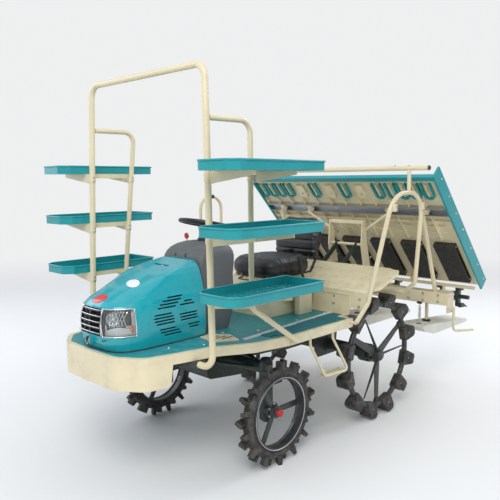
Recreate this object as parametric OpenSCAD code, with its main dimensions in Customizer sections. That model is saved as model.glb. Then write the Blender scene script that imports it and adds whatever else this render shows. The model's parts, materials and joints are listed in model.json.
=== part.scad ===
// Riding rice transplanter for six rows, at its real size in millimetres.
// +Z is up, the machine faces -Y and its left side is +X. The origin is on the ground,
// under the middle of the machine's length. Stations are measured back from the front axle.

/* [Wheels and axles] */
// Distance between the front and the rear axle
wheelbase = 1095; // [1040:5:1150]
// Distance between the middles of the front wheels
front_track = 1200; // [1160:10:1260]
// Distance between the middles of the rear wheels
rear_track = 1244; // [1224:4:1264]
// Diameter of a front wheel over its lugs
front_wheel_d = 650; // [600:10:670]
// Width of a front tyre over its lugs
front_tyre_w = 94; // [80:2:94]
// Number of lugs on a front tyre, left and right in turn
front_lugs = 28; // [20:2:32]
// Height of a front lug above the carcass
front_lug_h = 42; // [30:1:46]
// Diameter of a rear wheel over its lugs
rear_wheel_d = 920; // [880:10:940]
// Width of a rear wheel over its lugs
rear_wheel_w = 104; // [88:2:104]
// Number of paddle lugs on a rear wheel
rear_lugs = 12; // [10:1:14]
// Height of a rear lug from the ring's middle
rear_lug_h = 80; // [66:1:86]
// Diameter of the rear wheel's ring tube
ring_tube_d = 40; // [30:1:44]

/* [Deck] */
// Height of the deck's top face above the ground
deck_z = 802; // [790:1:820]
// Half the width of the deck along its straight sides
deck_half_w = 660; // [640:2:680]
// Distance from the front axle to the foremost point of the apron
apron_reach = 950; // [945:1:970]
// Height of the apron's lower edge above the ground
apron_z = 622; // [600:2:650]
// Wall of the deck's moulded rim
rim_t = 26; // [20:1:34]

/* [Bonnet] */
// Half the width of the bonnet at its foot
bonnet_half_w = 250; // [230:2:270]
// Wall of the bonnet
bonnet_t = 6; // [4:0.5:8]
// Height of a louvre slot in the bonnet's flank
louvre_h = 9; // [6:0.5:12]

/* [Gantry and seedling racks] */
// Height of the gantry's top tube
gantry_z = 2370; // [2250:10:2450]
// Diameter of the gantry and rack tubes
tube_d = 38; // [32:1:42]
// Length of a spare seedling tray
tray_l = 720; // [660:10:740]
// Width of a spare seedling tray
tray_w = 300; // [280:5:310]
// Height of the lowest tray's floor
tray_low_z = 1135; // [1110:5:1160]
// Height from one tray to the next
tray_pitch = 335; // [300:5:345]

/* [Planting unit] */
// Number of planting rows
rows = 6; // [6:2:6]
// Distance between two rows
row_pitch = 300; // [290:5:305]
// Length of the seedling platform along its slope
platform_l = 1260; // [1200:10:1280]
// Slope of the seedling platform from the level
platform_slope = 46.5; // [45:0.5:48]
// Length of the lift links between their pins
link_l = 700; // [680:5:720]
// Slope of the lift links with the planting unit raised
link_slope = 36; // [35:0.5:37]

/* [Hidden] */
$fn = 48;
front_r = front_wheel_d / 2;
rear_r = rear_wheel_d / 2;
front_x = front_track / 2;
rear_x = rear_track / 2;
rear_y = wheelbase;
tube_r = tube_d / 2;
float_tail_y = 2400;
mid_y = (float_tail_y - apron_reach) / 2;
seat_gap = 0.3;

teal = "#1fa3b5";
cream = "#e9e2c4";
dark = "#2b2f31";
iron = "#26352f";
rubber = "#1b1b1c";
grey = "#63686b";

// Helpers

// Puts a module's children, drawn from the front axle, in the part's frame
module station() translate([0, -mid_y, 0]) children();

// Draws its children on the left and mirrored on the right
module both_sides() {
    children();
    mirror([1, 0, 0]) children();
}

function unit(v) = v / norm(v);

// Round bar from a to b
module bar(a, b, r) {
    d = b - a;
    translate(a) rotate([0, acos(d.z / norm(d)), atan2(d.y, d.x)]) cylinder(r = r, h = norm(d));
}

// Length of straight tube that a bend of radius br takes off each side of corner i
function bend_cut(p, i, br) =
    let (turn = acos(unit(p[i] - p[i - 1]) * unit(p[i + 1] - p[i]))) br * tan(turn / 2);

// One bend at corner b, between the points a and c
module bend(a, b, c, r, br) {
    d1 = unit(b - a);
    d2 = unit(c - b);
    turn = acos(d1 * d2);
    start = b - d1 * br * tan(turn / 2);
    centre = b + unit(d2 - d1) * br / cos(turn / 2);
    x = (start - centre) / br;
    z = cross(x, d1);
    multmatrix([[x.x, d1.x, z.x, centre.x], [x.y, d1.y, z.y, centre.y],
            [x.z, d1.z, z.z, centre.z], [0, 0, 0, 1]])
        rotate_extrude(angle = turn) translate([br, 0]) circle(r = r);
}

// Radius of the bend at corner i: br is one radius, or a list of one for each corner
function bend_r(br, i) = is_list(br) ? br[i - 1] : br;

// How far a straight stretch of tube runs into a bend, and how much thinner it is there
bend_lap = 1.5;
bend_step = 0.1;

// Bent tube along the points p
module bent_tube(p, r, br) {
    last = len(p) - 1;
    for (i = [0 : last - 1]) {
        d = unit(p[i + 1] - p[i]);
        a = i == 0 ? p[0] : p[i] + d * (bend_cut(p, i, bend_r(br, i)) - bend_lap);
        b = i == last - 1 ? p[last] : p[i + 1] - d * (bend_cut(p, i + 1, bend_r(br, i + 1)) - bend_lap);
        bar(a, b, r - bend_step);
    }
    for (i = [1 : last - 1]) bend(p[i - 1], p[i], p[i + 1], r, bend_r(br, i));
}

// Arc points that round corner b of an outline with radius br
function corner_arc(a, b, c, br, steps = 6) =
    let (d1 = unit(b - a), d2 = unit(c - b), turn = acos(d1 * d2), side = sign(d1.x * d2.y - d1.y * d2.x),
        start = b - d1 * br * tan(turn / 2), n = [-d1.y, d1.x] * side, centre = start + n * br)
    br == 0 || turn < 0.01 ? [b] :
    [for (k = [0 : steps]) let (t = side * turn * k / steps)
        centre + [-n.x * cos(t) + n.y * sin(t), -n.x * sin(t) - n.y * cos(t)] * br];

// Closed outline with every corner [x, y, radius] rounded
function rounded(p) = [for (i = [0 : len(p) - 1])
    let (a = p[(i + len(p) - 1) % len(p)], b = p[i], c = p[(i + 1) % len(p)])
    each corner_arc([a.x, a.y], [b.x, b.y], [c.x, c.y], b.z)];

// Right half and left half of an outline from its left half, front to rear
function mirrored(p) = concat(p, [for (i = [len(p) - 1 : -1 : 0]) [-p[i].x, p[i].y, p[i].z]]);

// Solid through a stack of horizontal outlines, each a list of [x, y], at the heights z
module stack(outlines, z) {
    n = len(outlines[0]);
    rows_n = len(outlines);
    polyhedron(
        points = [for (k = [0 : rows_n - 1], q = outlines[k]) [q.x, q.y, z[k]]],
        faces = concat(
            [[for (i = [0 : n - 1]) i]],
            [[for (i = [n - 1 : -1 : 0]) (rows_n - 1) * n + i]],
            [for (k = [0 : rows_n - 2], i = [0 : n - 1]) [k * n + i, (k + 1) * n + i,
                (k + 1) * n + (i + 1) % n]],
            [for (k = [0 : rows_n - 2], i = [0 : n - 1]) [k * n + i, (k + 1) * n + (i + 1) % n,
                k * n + (i + 1) % n]]));
}

// Box from its lowest to its highest corner
module block(a, b) translate(a) cube(b - a);

// Plate whose outline lies in the Y-Z plane, from x0 to x1
module side_plate(p, x0, x1) translate([x0, 0, 0]) rotate([90, 0, 90]) linear_extrude(x1 - x0) polygon(p);

// Chassis

rail_x = 190;
rail_w = 50;
rail_low_z = 640;
rail_top_z = 712;
cross_stations = [-541, 130, 700];
axle_tube_z = 585;
king_x = front_x - 96;
king_r = 43;

// Pins of the lift linkage, as [y, z]
low_pin = [wheelbase - 45, 600];
up_pin = [wheelbase - 95, 800];
link_run = [cos(link_slope), sin(link_slope)] * link_l;
low_end = low_pin + link_run;
up_end = up_pin + link_run;
ram_pin = [wheelbase + 45, 575];
// Lugs of the cylinder's pin: inner face, thickness, half width, and the z of the cross plate under them
ram_lug_x = 37;
ram_lug_t = 12;
ram_lug_w = 28;
ram_plate_z = [524, 545];
ram_arm = 420;
ram_eye = up_pin + [cos(link_slope), sin(link_slope)] * ram_arm;
pin_r = 12;
// Outer face of the plates beside the links, and the ear at their rear end, as [y, z]
plate_x = rail_x - rail_w / 2;
ear = [wheelbase + 145, 860];
engine_foot_x = 185;

module chassis_frame() color(dark) station() {
    deck_under = deck_z - 12;
    both_sides() {
        block([plate_x - 2, -650, rail_low_z], [rail_x + rail_w / 2, low_pin.x + 120, rail_top_z]);
        // Plate that carries the links' pins and the rear axle
        difference() {
            side_plate([[low_pin.x - 120, rear_r - 84], [wheelbase + 90, rear_r - 84], [ram_pin.x + 70, 560],
                [ear.x + 22, ear.y + 24], [ear.x - 24, ear.y + 24], [ram_pin.x + 10, 720],
                [up_pin.x + 50, up_pin.y + 35], [up_pin.x - 50, up_pin.y + 35], [low_pin.x - 150, 712]],
                plate_x - 8, plate_x);
            translate([0, wheelbase, rear_r]) rotate([0, 90, 0]) cylinder(r = 60, h = rail_x + rail_w);
        }
        // Outrigger to the gantry's foot, stepped down to pass under the deck's rim
        block([engine_foot_x + 2, cross_stations[0] - 20, rail_top_z - 4],
            [425, cross_stations[0] + 20, deck_under]);
        block([423, cross_stations[0] - 20, rail_top_z - 4],
            [gantry_end.x, cross_stations[0] + 20, rim_low_z - seat_gap]);
    }
    for (i = [1, 2])
        block([-gantry_end.x, cross_stations[i] - 20, rail_top_z - 4],
            [gantry_end.x, cross_stations[i] + 20, deck_under]);
    // Pins across the two plates
    for (p = [low_pin, up_pin]) bar([-plate_x + 4, p.x, p.y], [plate_x - 4, p.x, p.y], pin_r);
    // Cross plate with the two lugs that hold the cylinder's pin
    block([2 - plate_x, ram_pin.x - ram_lug_w, ram_plate_z[0]],
        [plate_x - 2, ram_pin.x + ram_lug_w, ram_plate_z[1]]);
    both_sides() side_plate(rounded([[ram_pin.x - ram_lug_w, ram_plate_z[1] - 5, 0],
        [ram_pin.x + ram_lug_w, ram_plate_z[1] - 5, 0], [ram_pin.x + ram_lug_w, ram_pin.y + 26, 24],
        [ram_pin.x - ram_lug_w, ram_pin.y + 26, 24]]), ram_lug_x, ram_lug_x + ram_lug_t);
    bar([-ram_lug_x - ram_lug_t - 5, ram_pin.x, ram_pin.y],
        [ram_lug_x + ram_lug_t + 5, ram_pin.x, ram_pin.y], pin_r);
    // Nose plate with the towing loop
    block([-rail_x - rail_w / 2 - 4, -660, rail_low_z - 4],
        [rail_x + rail_w / 2 + 4, -640, rail_top_z - 3]);
    bent_tube([[-60, -648, 658], [-60, -880, 600], [60, -880, 600], [60, -648, 658]], 6, 30);
}

// Ends of the drive shaft housing, and how far the front case's boss reaches along it
shaft = [[0, 190, 520], [0, wheelbase - 30, rear_r + 10]];
shaft_boss = 62;

function shaft_at(t) = shaft[0] + unit(shaft[1] - shaft[0]) * t;

module front_axle_case() color(iron) station() {
    // Gear case in the middle, under the rails
    side_plate(rounded([[-170, 470, 40], [190, 430, 40], [240, 560, 30], [200, rail_low_z - 2, 0],
        [-190, rail_low_z - 2, 0]]),
        -150, 150);
    block([-rail_x - 10, -180, rail_low_z - 14], [rail_x + 10, 190, rail_low_z - seat_gap]);
    bar(shaft[0], shaft_at(shaft_boss), 40);
    both_sides() {
        bar([120, 0, axle_tube_z], [king_x, 0, axle_tube_z], 37);
        translate([king_x, 0, 520]) cylinder(r = king_r, h = 112);
        translate([king_x, 0, 632]) cylinder(r1 = king_r, r2 = 28, h = 20);
        for (s = [-1, 1]) bent_tube([[140, s * 130, 590], [230, s * 130, 590],
            [king_x - 20, s * 14, axle_tube_z]], 13, 30);
    }
}

module rear_axle_case() color(iron) station() {
    translate([0, wheelbase, rear_r]) rotate([0, 90, 0]) {
        translate([0, 0, -rear_x + 52 + seat_gap]) cylinder(r = 46, h = rear_track - 104 - 2 * seat_gap);
        translate([0, 0, -plate_x - 12]) cylinder(r = 60 - seat_gap, h = 2 * plate_x + 24);
        for (s = [-1, 1]) translate([0, 0, s * (rear_x - 105) - 35]) cylinder(r = 68, h = 70);
    }
    // Drive shaft housing from the front gear case
    bar(shaft_at(shaft_boss + seat_gap), shaft[1], 30);
}

module engine_block() color(dark) station() {
    block([-165, -790, 744], [165, -380, 1030]);
    block([-engine_foot_x, -700, rail_top_z + seat_gap], [engine_foot_x, -460, 746]);
}

// Deck

// Left half of the deck's outline as [x, y, corner radius], drawn in by the distance d
function deck_half(d) = [
    [0, -apron_reach + d, 0], [250 - d * 0.4, -apron_reach + 8 + d, 90],
        [402 - d, -apron_reach + 110 + d * 0.7, 90],
    [448 - d, -640 + d * 0.1, 120], [492 - d, -420, 160], [610 - d, -200, 160],
    [deck_half_w - d, 60, 160], [deck_half_w - d, arch_y - d, 8], [arch_x - d, arch_y - d, 20],
    [arch_x - d, deck_end_y - d, 0], [0, deck_end_y - d, 0]];

deck_end_y = 800;
rim_top_z = deck_z + 3;
rim_low_z = deck_z - 54;
// Recess in the deck's rear corners round the rear wheels: its inner side and its front
wheel_room = 14;
arch_x = rear_x - rear_wheel_w / 2 - 10;
arch_y = wheelbase - sqrt(pow(rear_r + wheel_room, 2) - pow(rim_low_z - rear_r, 2));

module deck_shape(d) polygon(rounded(mirrored(deck_half(d))));

// Hole in the deck for the engine
module engine_bay(z0, z1) block([-185, -800, z0], [185, -330, z1]);

module deck() color(teal) station() {
    rib_count = 11;
    rib_x0 = 455;
    rib_x1 = deck_half_w - rim_t - 18;
    difference() {
        translate([0, 0, deck_z - 12]) linear_extrude(12) deck_shape(rim_t + seat_gap);
        engine_bay(deck_z - 40, deck_z + 10);
    }
    // Tread ribs along both sides
    both_sides() for (i = [0 : rib_count - 1])
        let (x = rib_x0 + (rib_x1 - rib_x0) * i / (rib_count - 1), y0 = -40 + max(0, x - 560) * 2.4,
            y1 = (x > arch_x - rim_t - 12 ? arch_y : deck_end_y) - rim_t - 6)
        block([x - 4, y0, deck_z - 1], [x + 4, y1, deck_z + 6]);
}

module deck_skirt() color(cream) station() {
    apron_end_y = -690;
    translate([0, 0, rim_low_z]) linear_extrude(rim_top_z - rim_low_z) difference() {
        deck_shape(0);
        deck_shape(rim_t);
    }
    intersection() {
        translate([0, 0, apron_z]) linear_extrude(rim_low_z - apron_z) difference() {
            deck_shape(0);
            deck_shape(10);
        }
        side_plate([[-apron_reach - 10, apron_z - 1], [apron_end_y - 22, apron_z - 1],
            [apron_end_y, apron_z + 20], [apron_end_y + 12, rim_low_z], [-apron_reach - 10, rim_low_z]],
            -deck_half_w, deck_half_w);
    }
    // Raised corner plates where the front strip meets the floor
    both_sides() translate([0, 0, deck_z]) linear_extrude(5)
        polygon(rounded([[bonnet_half_w + 8, -330, 10], [405, -352, 20], [500, -215, 20], [345, -160, 20],
            [bonnet_half_w + 8, -240, 10]]));
}

// Bonnet

// Heights of the bonnet's outlines, with the front edge's station and the half width there
bonnet_rows = [ // [z, front y, half width, squareness of the nose]
    [deck_z + seat_gap, -893, 0.97, 3.6], [850, -915, 0.99, 3.4], [900, -928, 1, 3.2],
        [960, -932, 1, 3.0],
    [1020, -922, 0.985, 2.8], [1056, -905, 0.965, 2.6], [1078, -875, 0.945, 2.5], [1100, -822, 0.92, 2.4],
    [1130, -748, 0.89, 2.4], [1165, -655, 0.85, 2.4], [1200, -550, 0.80, 2.4], [1230, -440, 0.74, 2.4],
    [1252, -350, 0.66, 2.4], [1266, -300, 0.56, 2.6]];
bonnet_rear_y = -268;
nose_y = -560;
grille_z = [893, 1046];

// Outline of the bonnet at row k, drawn in by d, from the rear right round the nose to the rear left
function bonnet_outline(k, d, rear) = let (
        row = bonnet_rows[k], w = row[2] * bonnet_half_w - d, front = row[1] + d,
        start = max(front + (row[0] > 1090 ? 20 : 60), min(nose_y, rear - 5)), n = 16, q = row[3])
    concat([[-w, rear]],
        [for (i = [0 : n]) let (t = -90 + 180 * i / n, s = sign(sin(t)))
            [s * w * pow(abs(sin(t)), 2 / q), start - (start - front) * pow(cos(t), 2 / q)]],
        [[w, rear]]);

module bonnet_form(d, rear) {
    top_drop = d;
    stack([for (k = [0 : len(bonnet_rows) - 1]) bonnet_outline(k, d, rear)],
        [for (k = [0 : len(bonnet_rows) - 1]) k == 0 ? bonnet_rows[0][0] - (d > 0 ? 5 : 0)
            : bonnet_rows[k][0] - top_drop * k / (len(bonnet_rows) - 1)]);
}

lamp_end_y = -770;

// Louvre slots in each flank, in two columns and three groups that together fill an oval
louvre_rows = [ // [height, front column from, to, rear column from, to]
    [1078, -553, -437, 0, 0], [1060, -591, -451, 0, 0], [1042, -612, -473, -434, -370],
    [1024, -629, -495, -468, -352], [986, -654, -526, 0, 0], [968, -659, -514, -475, -335],
    [950, -655, -510, -471, -337], [932, -644, -508, -465, -329], [898, -620, -498, -411, -315],
    [880, -613, -473, -398, -322], [862, -588, -456, 0, 0]];

// One slot with pointed ends through the left flank
module louvre(from, to, z) {
    h = louvre_h / 2;
    side_plate([[from, z], [from + h, z - h], [to - h, z - h], [to, z], [to - h, z + h],
        [from + h, z + h]],
        bonnet_half_w - 60, bonnet_half_w + 40);
}

// Eyes of the bonnet's hinge, under the rear edge of its roof, and their pins in the cowl
hinge = [-262, 1262];
hinge_x = [43, 57];
hinge_pin_r = 5;

module bonnet() color(teal) station() {
    difference() {
        bonnet_form(0, bonnet_rear_y);
        bonnet_form(bonnet_t, bonnet_rear_y + 10);
        // Band for the grille and the lamps
        intersection() {
            block([-300, -960, grille_z[0]], [300, lamp_end_y, grille_z[1]]);
            difference() {
                translate([0, -10, 0]) bonnet_form(-12, bonnet_rear_y);
                bonnet_form(bonnet_t + 20, bonnet_rear_y + 10);
            }
        }
        both_sides() for (q = louvre_rows) {
            louvre(q[1], q[2], q[0]);
            if (q[3] < q[4]) louvre(q[3], q[4], q[0]);
        }
        // Narrow vent across the top
        block([-70, -420, 1150], [70, -400, 1300]);
    }
    // Latch on the chin
    block([-22, -938, 838], [22, -912, 878]);
    both_sides() difference() {
        union() {
            bar([hinge_x[0], hinge.x, hinge.y], [hinge_x[1], hinge.x, hinge.y], 9);
            block([hinge_x[0], -280, hinge.y - 5], [hinge_x[1], hinge.x, hinge.y + 3]);
        }
        bar([hinge_x[0] - 1, hinge.x, hinge.y], [hinge_x[1] + 1, hinge.x, hinge.y], hinge_pin_r + 0.1);
    }
}

module grille() color(dark) station() {
    bars = 5;
    intersection() {
        difference() {
            bonnet_form(2, bonnet_rear_y);
            bonnet_form(16, bonnet_rear_y + 10);
        }
        union() {
            for (i = [0 : bars - 1])
                let (z = grille_z[0] + 6 + i * (grille_z[1] - grille_z[0] - 24) / (bars - 1))
                block([-98, -960, z], [98, lamp_end_y, z + 12]);
            for (s = [-1, 1]) block([s * 104 - 6, -960, grille_z[0] + 0.5],
                [s * 104 + 6, lamp_end_y, grille_z[1] - 0.5]);
            block([-6, -960, grille_z[0] + 0.5], [6, lamp_end_y, grille_z[1] - 0.5]);
        }
    }
}

module headlamps() color("#d9e2e4") station() {
    both_sides() intersection() {
        difference() {
            bonnet_form(1, bonnet_rear_y);
            bonnet_form(22, bonnet_rear_y + 10);
        }
        block([111, -960, grille_z[0] + seat_gap], [300, lamp_end_y - seat_gap, grille_z[1] - seat_gap]);
    }
}

// Dash and steering

wheel_rake = 12;
steer_hub = [0, -40, 1470];
steer_r = 168;

module dash_cowl() color(grey) station() {
    // Cowl behind the bonnet
    difference() {
        side_plate(rounded([[-262, deck_z, 0], [-20, deck_z, 0], [40, 960, 60], [30, 1150, 40],
            [60, 1290, 25],
                [30, 1345, 20], [-90, 1362, 30], [-200, 1330, 30], [-262, 1276, 10]]), -205, 205);
        side_plate(rounded([[-263, deck_z - 1, 0], [-34, deck_z - 1, 0], [26, 960, 50], [18, 1150, 30],
                [-50, 1240, 25], [-263, 1240, 0]]), -193, 193);
        both_sides() block([hinge_x[0] - 3, hinge.x - 1, hinge.y - 12],
            [hinge_x[1] + 3, hinge.x + 12, hinge.y + 40]);
    }
    both_sides() bar([hinge_x[0] - 5, hinge.x, hinge.y], [hinge_x[1] + 5, hinge.x, hinge.y], hinge_pin_r);
    // Column tube under the wheel
    translate(steer_hub) rotate([-wheel_rake, 0, 0]) translate([0, 0, -150]) {
        cylinder(r1 = 46, r2 = 30, h = 70);
        translate([0, 0, 70]) cylinder(r = 22, h = 54);
        translate([0, 0, 120]) cylinder(r = 13.95, h = 24.7);
    }
}

module steering_wheel() color(rubber) station() translate(steer_hub) rotate([-wheel_rake, 0, 0]) {
    rotate_extrude() translate([steer_r, 0]) circle(r = 13, $fn = 24);
    difference() {
        translate([0, 0, -24]) cylinder(r = 34, h = 32);
        translate([0, 0, -25]) cylinder(r = 14, h = 20);
    }
    for (a = [90, 210, 330]) rotate([0, 0, a]) translate([28, -12, -9]) cube([steer_r - 34, 24, 9]);
}

// Seat

module seat_pedestal() color(cream) station() {
    difference() {
        side_plate(rounded([[330, deck_z, 0], [800 - rim_t, deck_z, 0], [800 - rim_t, 1040, 0],
            [420, 1062, 40], [360, 1000, 40]]), -215, 215);
        side_plate(rounded([[345, deck_z - 1, 0], [800, deck_z - 1, 0], [800, 1022, 0], [430, 1044, 30],
            [376, 990, 30]]), -203, 203);
    }
    for (x = [-150, 150]) block([x - 20, 430, 1040], [x + 20, 760, 1076]);
}

module seat_cushion() color(rubber) station() hull() {
    for (x = [-205, 205], y = [400, 800]) translate([x, y, 1076 + seat_gap]) {
        translate([0, 0, 40]) cylinder(r = 50, h = 62, $fn = 24);
        cylinder(r = 35, h = 10, $fn = 24);
        translate([0, 0, 112]) cylinder(r = 35, h = 16, $fn = 24);
    }
}

module seat_backrest() color(rubber) station() hull() {
    // [half width, y, z, radius]
    for (q = [[190, 892 + seat_gap, 1190, 42], [195, 925, 1340, 42], [150, 950, 1462, 30]], s = [-1, 1])
        translate([s * q[0], q[1], q[2]]) sphere(r = q[3], $fn = 20);
}

module rear_cover() color(cream) station() {
    top = [[800, deck_z - 40], [812, deck_z - 40], [842, 962], [852, 968], [1200, 1072], [1212, 1060],
        [1224, 1060],
        [1210, 1090], [1196, 1088], [846, 982], [828, 970]];
    // Height of the riser's lower edge over a rear wheel
    arch_z = rear_r + sqrt(pow(rear_r + wheel_room, 2) - pow(wheelbase - 826, 2));
    difference() {
        intersection() {
            side_plate(top, -760, 760);
            linear_extrude(1200) polygon(rounded(mirrored([[0, 780, 0], [692, 780, 0], [692, 850, 20],
                [752, 915, 40],
                [736, 1180, 40], [690, 1240, 20], [0, 1240, 0]])));
        }
        both_sides() block([arch_x, 780, deck_z - 60], [760, 860, arch_z]);
    }
    // Non-slip pads, in rows up the slope
    for (j = [0 : 2], i = [-6 : 6]) translate([i * 98, 900 + j * 96, 998 + j * 28.6])
        rotate([16.6, 0, 0]) translate([-34, -18, -4]) cube([68, 36, 8]);
    // Stays to the frame's rails and plates
    both_sides() {
        block([rail_x - 12, 830, rail_top_z + seat_gap], [rail_x + 12, 850, 965]);
        block([plate_x - 10, 1198, ear.y + 24 + seat_gap], [plate_x + 6, 1222, 1068]);
    }
}

module lever() color(rubber) station() {
    bar([292, 640, 1010], [292, 585, 1190], 7);
    translate([292, 585, 1190]) sphere(r = 16, $fn = 24);
    block([262, 560, deck_z], [312, 700, 1012]);
}

// Tube work

gantry_y = -520;
post_top_x = 558;
post_foot_x = 614;
post_foot_y = cross_stations[0];
gantry_end = [500, cross_stations[0], 731];

function post_at(z) = let (t = (z - gantry_end.z) / (gantry_z - gantry_end.z))
    [post_foot_x + (post_top_x - post_foot_x) * t, post_foot_y + (gantry_y - post_foot_y) * t, z];

module gantry() color(cream) station() {
    left = [gantry_end + [seat_gap, 0, 0], [post_foot_x, post_foot_y, gantry_end.z],
        [post_top_x, gantry_y, gantry_z]];
    bent_tube(concat(left, [for (i = [2 : -1 : 0]) [-left[i].x, left[i].y, left[i].z]]), tube_r, 78);
}

rack_r = 16;
rack_post = [[570, -194, 2090], [634, -256, 1028], [692, 84, 775]];
tray_x = rack_post[1].x + rack_r + tray_w / 2 + 2;
tray_y = -345;

module rack_frame() {
    arch = post_at(2088);
    start = arch + [0, tube_r + seat_gap, 0];
    bent_tube([start, rack_post[0], rack_post[1], rack_post[2]], rack_r, 70);
    bar([deck_half_w + seat_gap, rack_post[2].y, rack_post[2].z], rack_post[2], 12);
    for (i = [0 : 2]) {
        z = tray_low_z + i * tray_pitch - seat_gap;
        front = [post_at(z - arm_h) + [tube_r + seat_gap, 0, 0], post_at(z) + [tube_r + seat_gap, 0, 0]];
        rear = [rack_post_at(z - arm_h), rack_post_at(z)];
        rack_arm(front, z);
        rack_arm(rear, z);
        // Rail between the two arms
        x = rack_post_at(z - 30).x + rack_r + 8;
        block([x, front[1].y - 1, z - 30], [x + 4, rear[1].y + 1, z]);
    }
}

arm_h = 70;

function rack_post_at(z) =
    rack_post[0] + (rack_post[1] - rack_post[0]) * (rack_post[0].z - z) / (rack_post[0].z - rack_post[1].z);

// Folded sheet arm under a tray: e has its lower and its upper point at the post
module rack_arm(e, z) {
    tip = tray_x + tray_w / 2 - 20;
    translate([0, e[1].y + 2, 0]) rotate([90, 0, 0]) linear_extrude(4)
        polygon([[e[0].x, z - arm_h], [e[0].x + 40, z - arm_h + 8], [tip, z - 22], [tip, z],
            [e[1].x, z]]);
}

module rack_frame_left() color(cream) station() rack_frame();
module rack_frame_right() color(cream) station() mirror([1, 0, 0]) rack_frame();

module tray() {
    wall = 4;
    h = 52;
    difference() {
        linear_extrude(h) polygon(rounded([[-tray_w / 2, -tray_l / 2 + 60, 30],
            [-tray_w / 2 + 50, -tray_l / 2, 30],
                [tray_w / 2 - 50, -tray_l / 2, 30], [tray_w / 2, -tray_l / 2 + 60, 30],
                [tray_w / 2, tray_l / 2, 24], [-tray_w / 2, tray_l / 2, 24]]));
        translate([0, 0, wall]) linear_extrude(h) polygon(rounded([[-tray_w / 2 + wall, -tray_l / 2 + 62,
            28],
                [-tray_w / 2 + 51, -tray_l / 2 + wall, 28], [tray_w / 2 - 51, -tray_l / 2 + wall, 28],
                [tray_w / 2 - wall, -tray_l / 2 + 62, 28], [tray_w / 2 - wall, tray_l / 2 - wall, 20],
                [-tray_w / 2 + wall, tray_l / 2 - wall, 20]]));
    }
    for (i = [-2 : 2]) block([i * 52 - 2, -tray_l / 2 + 70, wall - 1],
        [i * 52 + 2, tray_l / 2 - 30, wall + 6]);
}

module trays() for (i = [0 : 2]) translate([tray_x, tray_y, tray_low_z + i * tray_pitch]) tray();
module trays_left() color(teal) station() trays();
module trays_right() color(teal) station() mirror([1, 0, 0]) trays();

rail_r = 16;
bar_z = 1832;
apex_y = 1158;

module handrail_left() color(cream) station() {
    p = [[702, 690, 786], [718, 806, 905], [812, 955, 1660], [812, 1362, 1660], [772, 1345, 985],
        [672, 1376, 905], [plate_x - 6, ear.x, ear.y]];
    difference() {
        bent_tube(p, rail_r, [60, 180, 180, 40, 40]);
        block([plate_x - 60, ear.x - 60, ear.y - 60], [plate_x + seat_gap, ear.x + 60, ear.y + 60]);
    }
    bar([812, apex_y, p[2].z], [812, apex_y, bar_z], rail_r - 2.5);
    // Bar behind the seat, with a free end that takes a clip
    bar([-260, apex_y, bar_z], [832, apex_y, bar_z], rail_r + 1.5);
    bar([830, apex_y, bar_z], [966, apex_y, bar_z], rail_r + 1);
    bar([deck_half_w + seat_gap, 692, 782], [702, 692, 782], 11);
}

hoop_x = -deck_half_w + rim_t / 2;

module grab_hoop_right() color(cream) station()
    bent_tube([[hoop_x, 478, rim_top_z + seat_gap], [hoop_x, 478, 1626], [hoop_x, 698, 1626],
        [hoop_x, 698, rim_top_z + seat_gap]], 12.5, 100);

module side_steps() color(cream) station() both_sides() {
    top = [deck_half_w - rim_t / 2, rim_low_z - seat_gap];
    bent_tube([[top.x, 262, top.y], [top.x, 262, top.y - 40], [712, 338, 500], [712, 590, 484],
        [top.x, 500, top.y - 40], [top.x, 500, top.y]], 9, 26);
    block([646, 350, 488], [714, 572, 492]);
}

// Front wheels

module axle_x(x) translate([x, 0, front_r]) rotate([0, 90, 0]) children();

module front_tyre() color(rubber) {
    inner_r = 236;
    body_r = front_r - front_lug_h;
    axle_x(front_x) {
        rotate_extrude($fn = 72) polygon([[inner_r, -26], [inner_r + 12, -34], [body_r - 8, -30],
            [body_r, -20],
                [body_r, 20], [body_r - 8, 30], [inner_r + 12, 34], [inner_r, 26]]);
        for (i = [0 : front_lugs - 1]) rotate([0, 0, i * 360 / front_lugs]) {
            s = i % 2 == 0 ? 1 : -1;
            translate([body_r - 14, 0, 0]) rotate([s * 22, 0, 0])
                translate([0, 0, s > 0 ? -6 : 6 - front_tyre_w * 0.54]) linear_extrude(front_tyre_w * 0.54)
                    polygon([[0, -17], [14 + front_lug_h, -12], [14 + front_lug_h, 12], [0, 17]]);
        }
    }
}

module front_rim() color("#8d9194") {
    r = 236 - seat_gap;
    axle_x(front_x) {
        rotate_extrude($fn = 72) polygon([[r - 22, -34], [r - 10, -34], [r - 4, -24], [r, -24], [r, 24],
            [r - 4, 24],
                [r - 10, 34], [r - 22, 34], [r - 18, 26], [r - 14, 20], [r - 14, -20], [r - 18, -26]]);
        // Hub with its three spokes, set inboard of the rim's middle
        translate([0, 0, -46]) cylinder(r = 52, h = 12);
        translate([0, 0, -34]) cylinder(r = 40, h = 30);
        translate([0, 0, -4]) cylinder(r1 = 22, r2 = 16, h = 22);
        for (a = [0 : 120 : 240]) rotate([0, 0, a + 90])
            translate([34, -17, -34]) cube([r - 34 - 12, 34, 12]);
    }
}

module front_rim_left() station() front_rim();
module front_rim_right() station() mirror([1, 0, 0]) front_rim();
module front_tyre_left() station() front_tyre();
module front_tyre_right() station() mirror([1, 0, 0]) front_tyre();

module knuckle() color(iron) {
    // Drop case below the king pin, with the hub's flange
    translate([king_x, 0, front_r - 62]) cylinder(r = king_r, h = 520 - seat_gap - front_r + 62);
    translate([king_x, 0, front_r - 78]) cylinder(r1 = 30, r2 = king_r, h = 16);
    bar([king_x, 0, front_r], [front_x - 46 - seat_gap, 0, front_r], 40);
    // Steering arm
    block([king_x - 20, 0, 470], [king_x + 20, 130, 486]);
}

module knuckle_left() station() knuckle();
module knuckle_right() station() mirror([1, 0, 0]) knuckle();

// Rear wheels

ring_r = rear_r - rear_lug_h;

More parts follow.
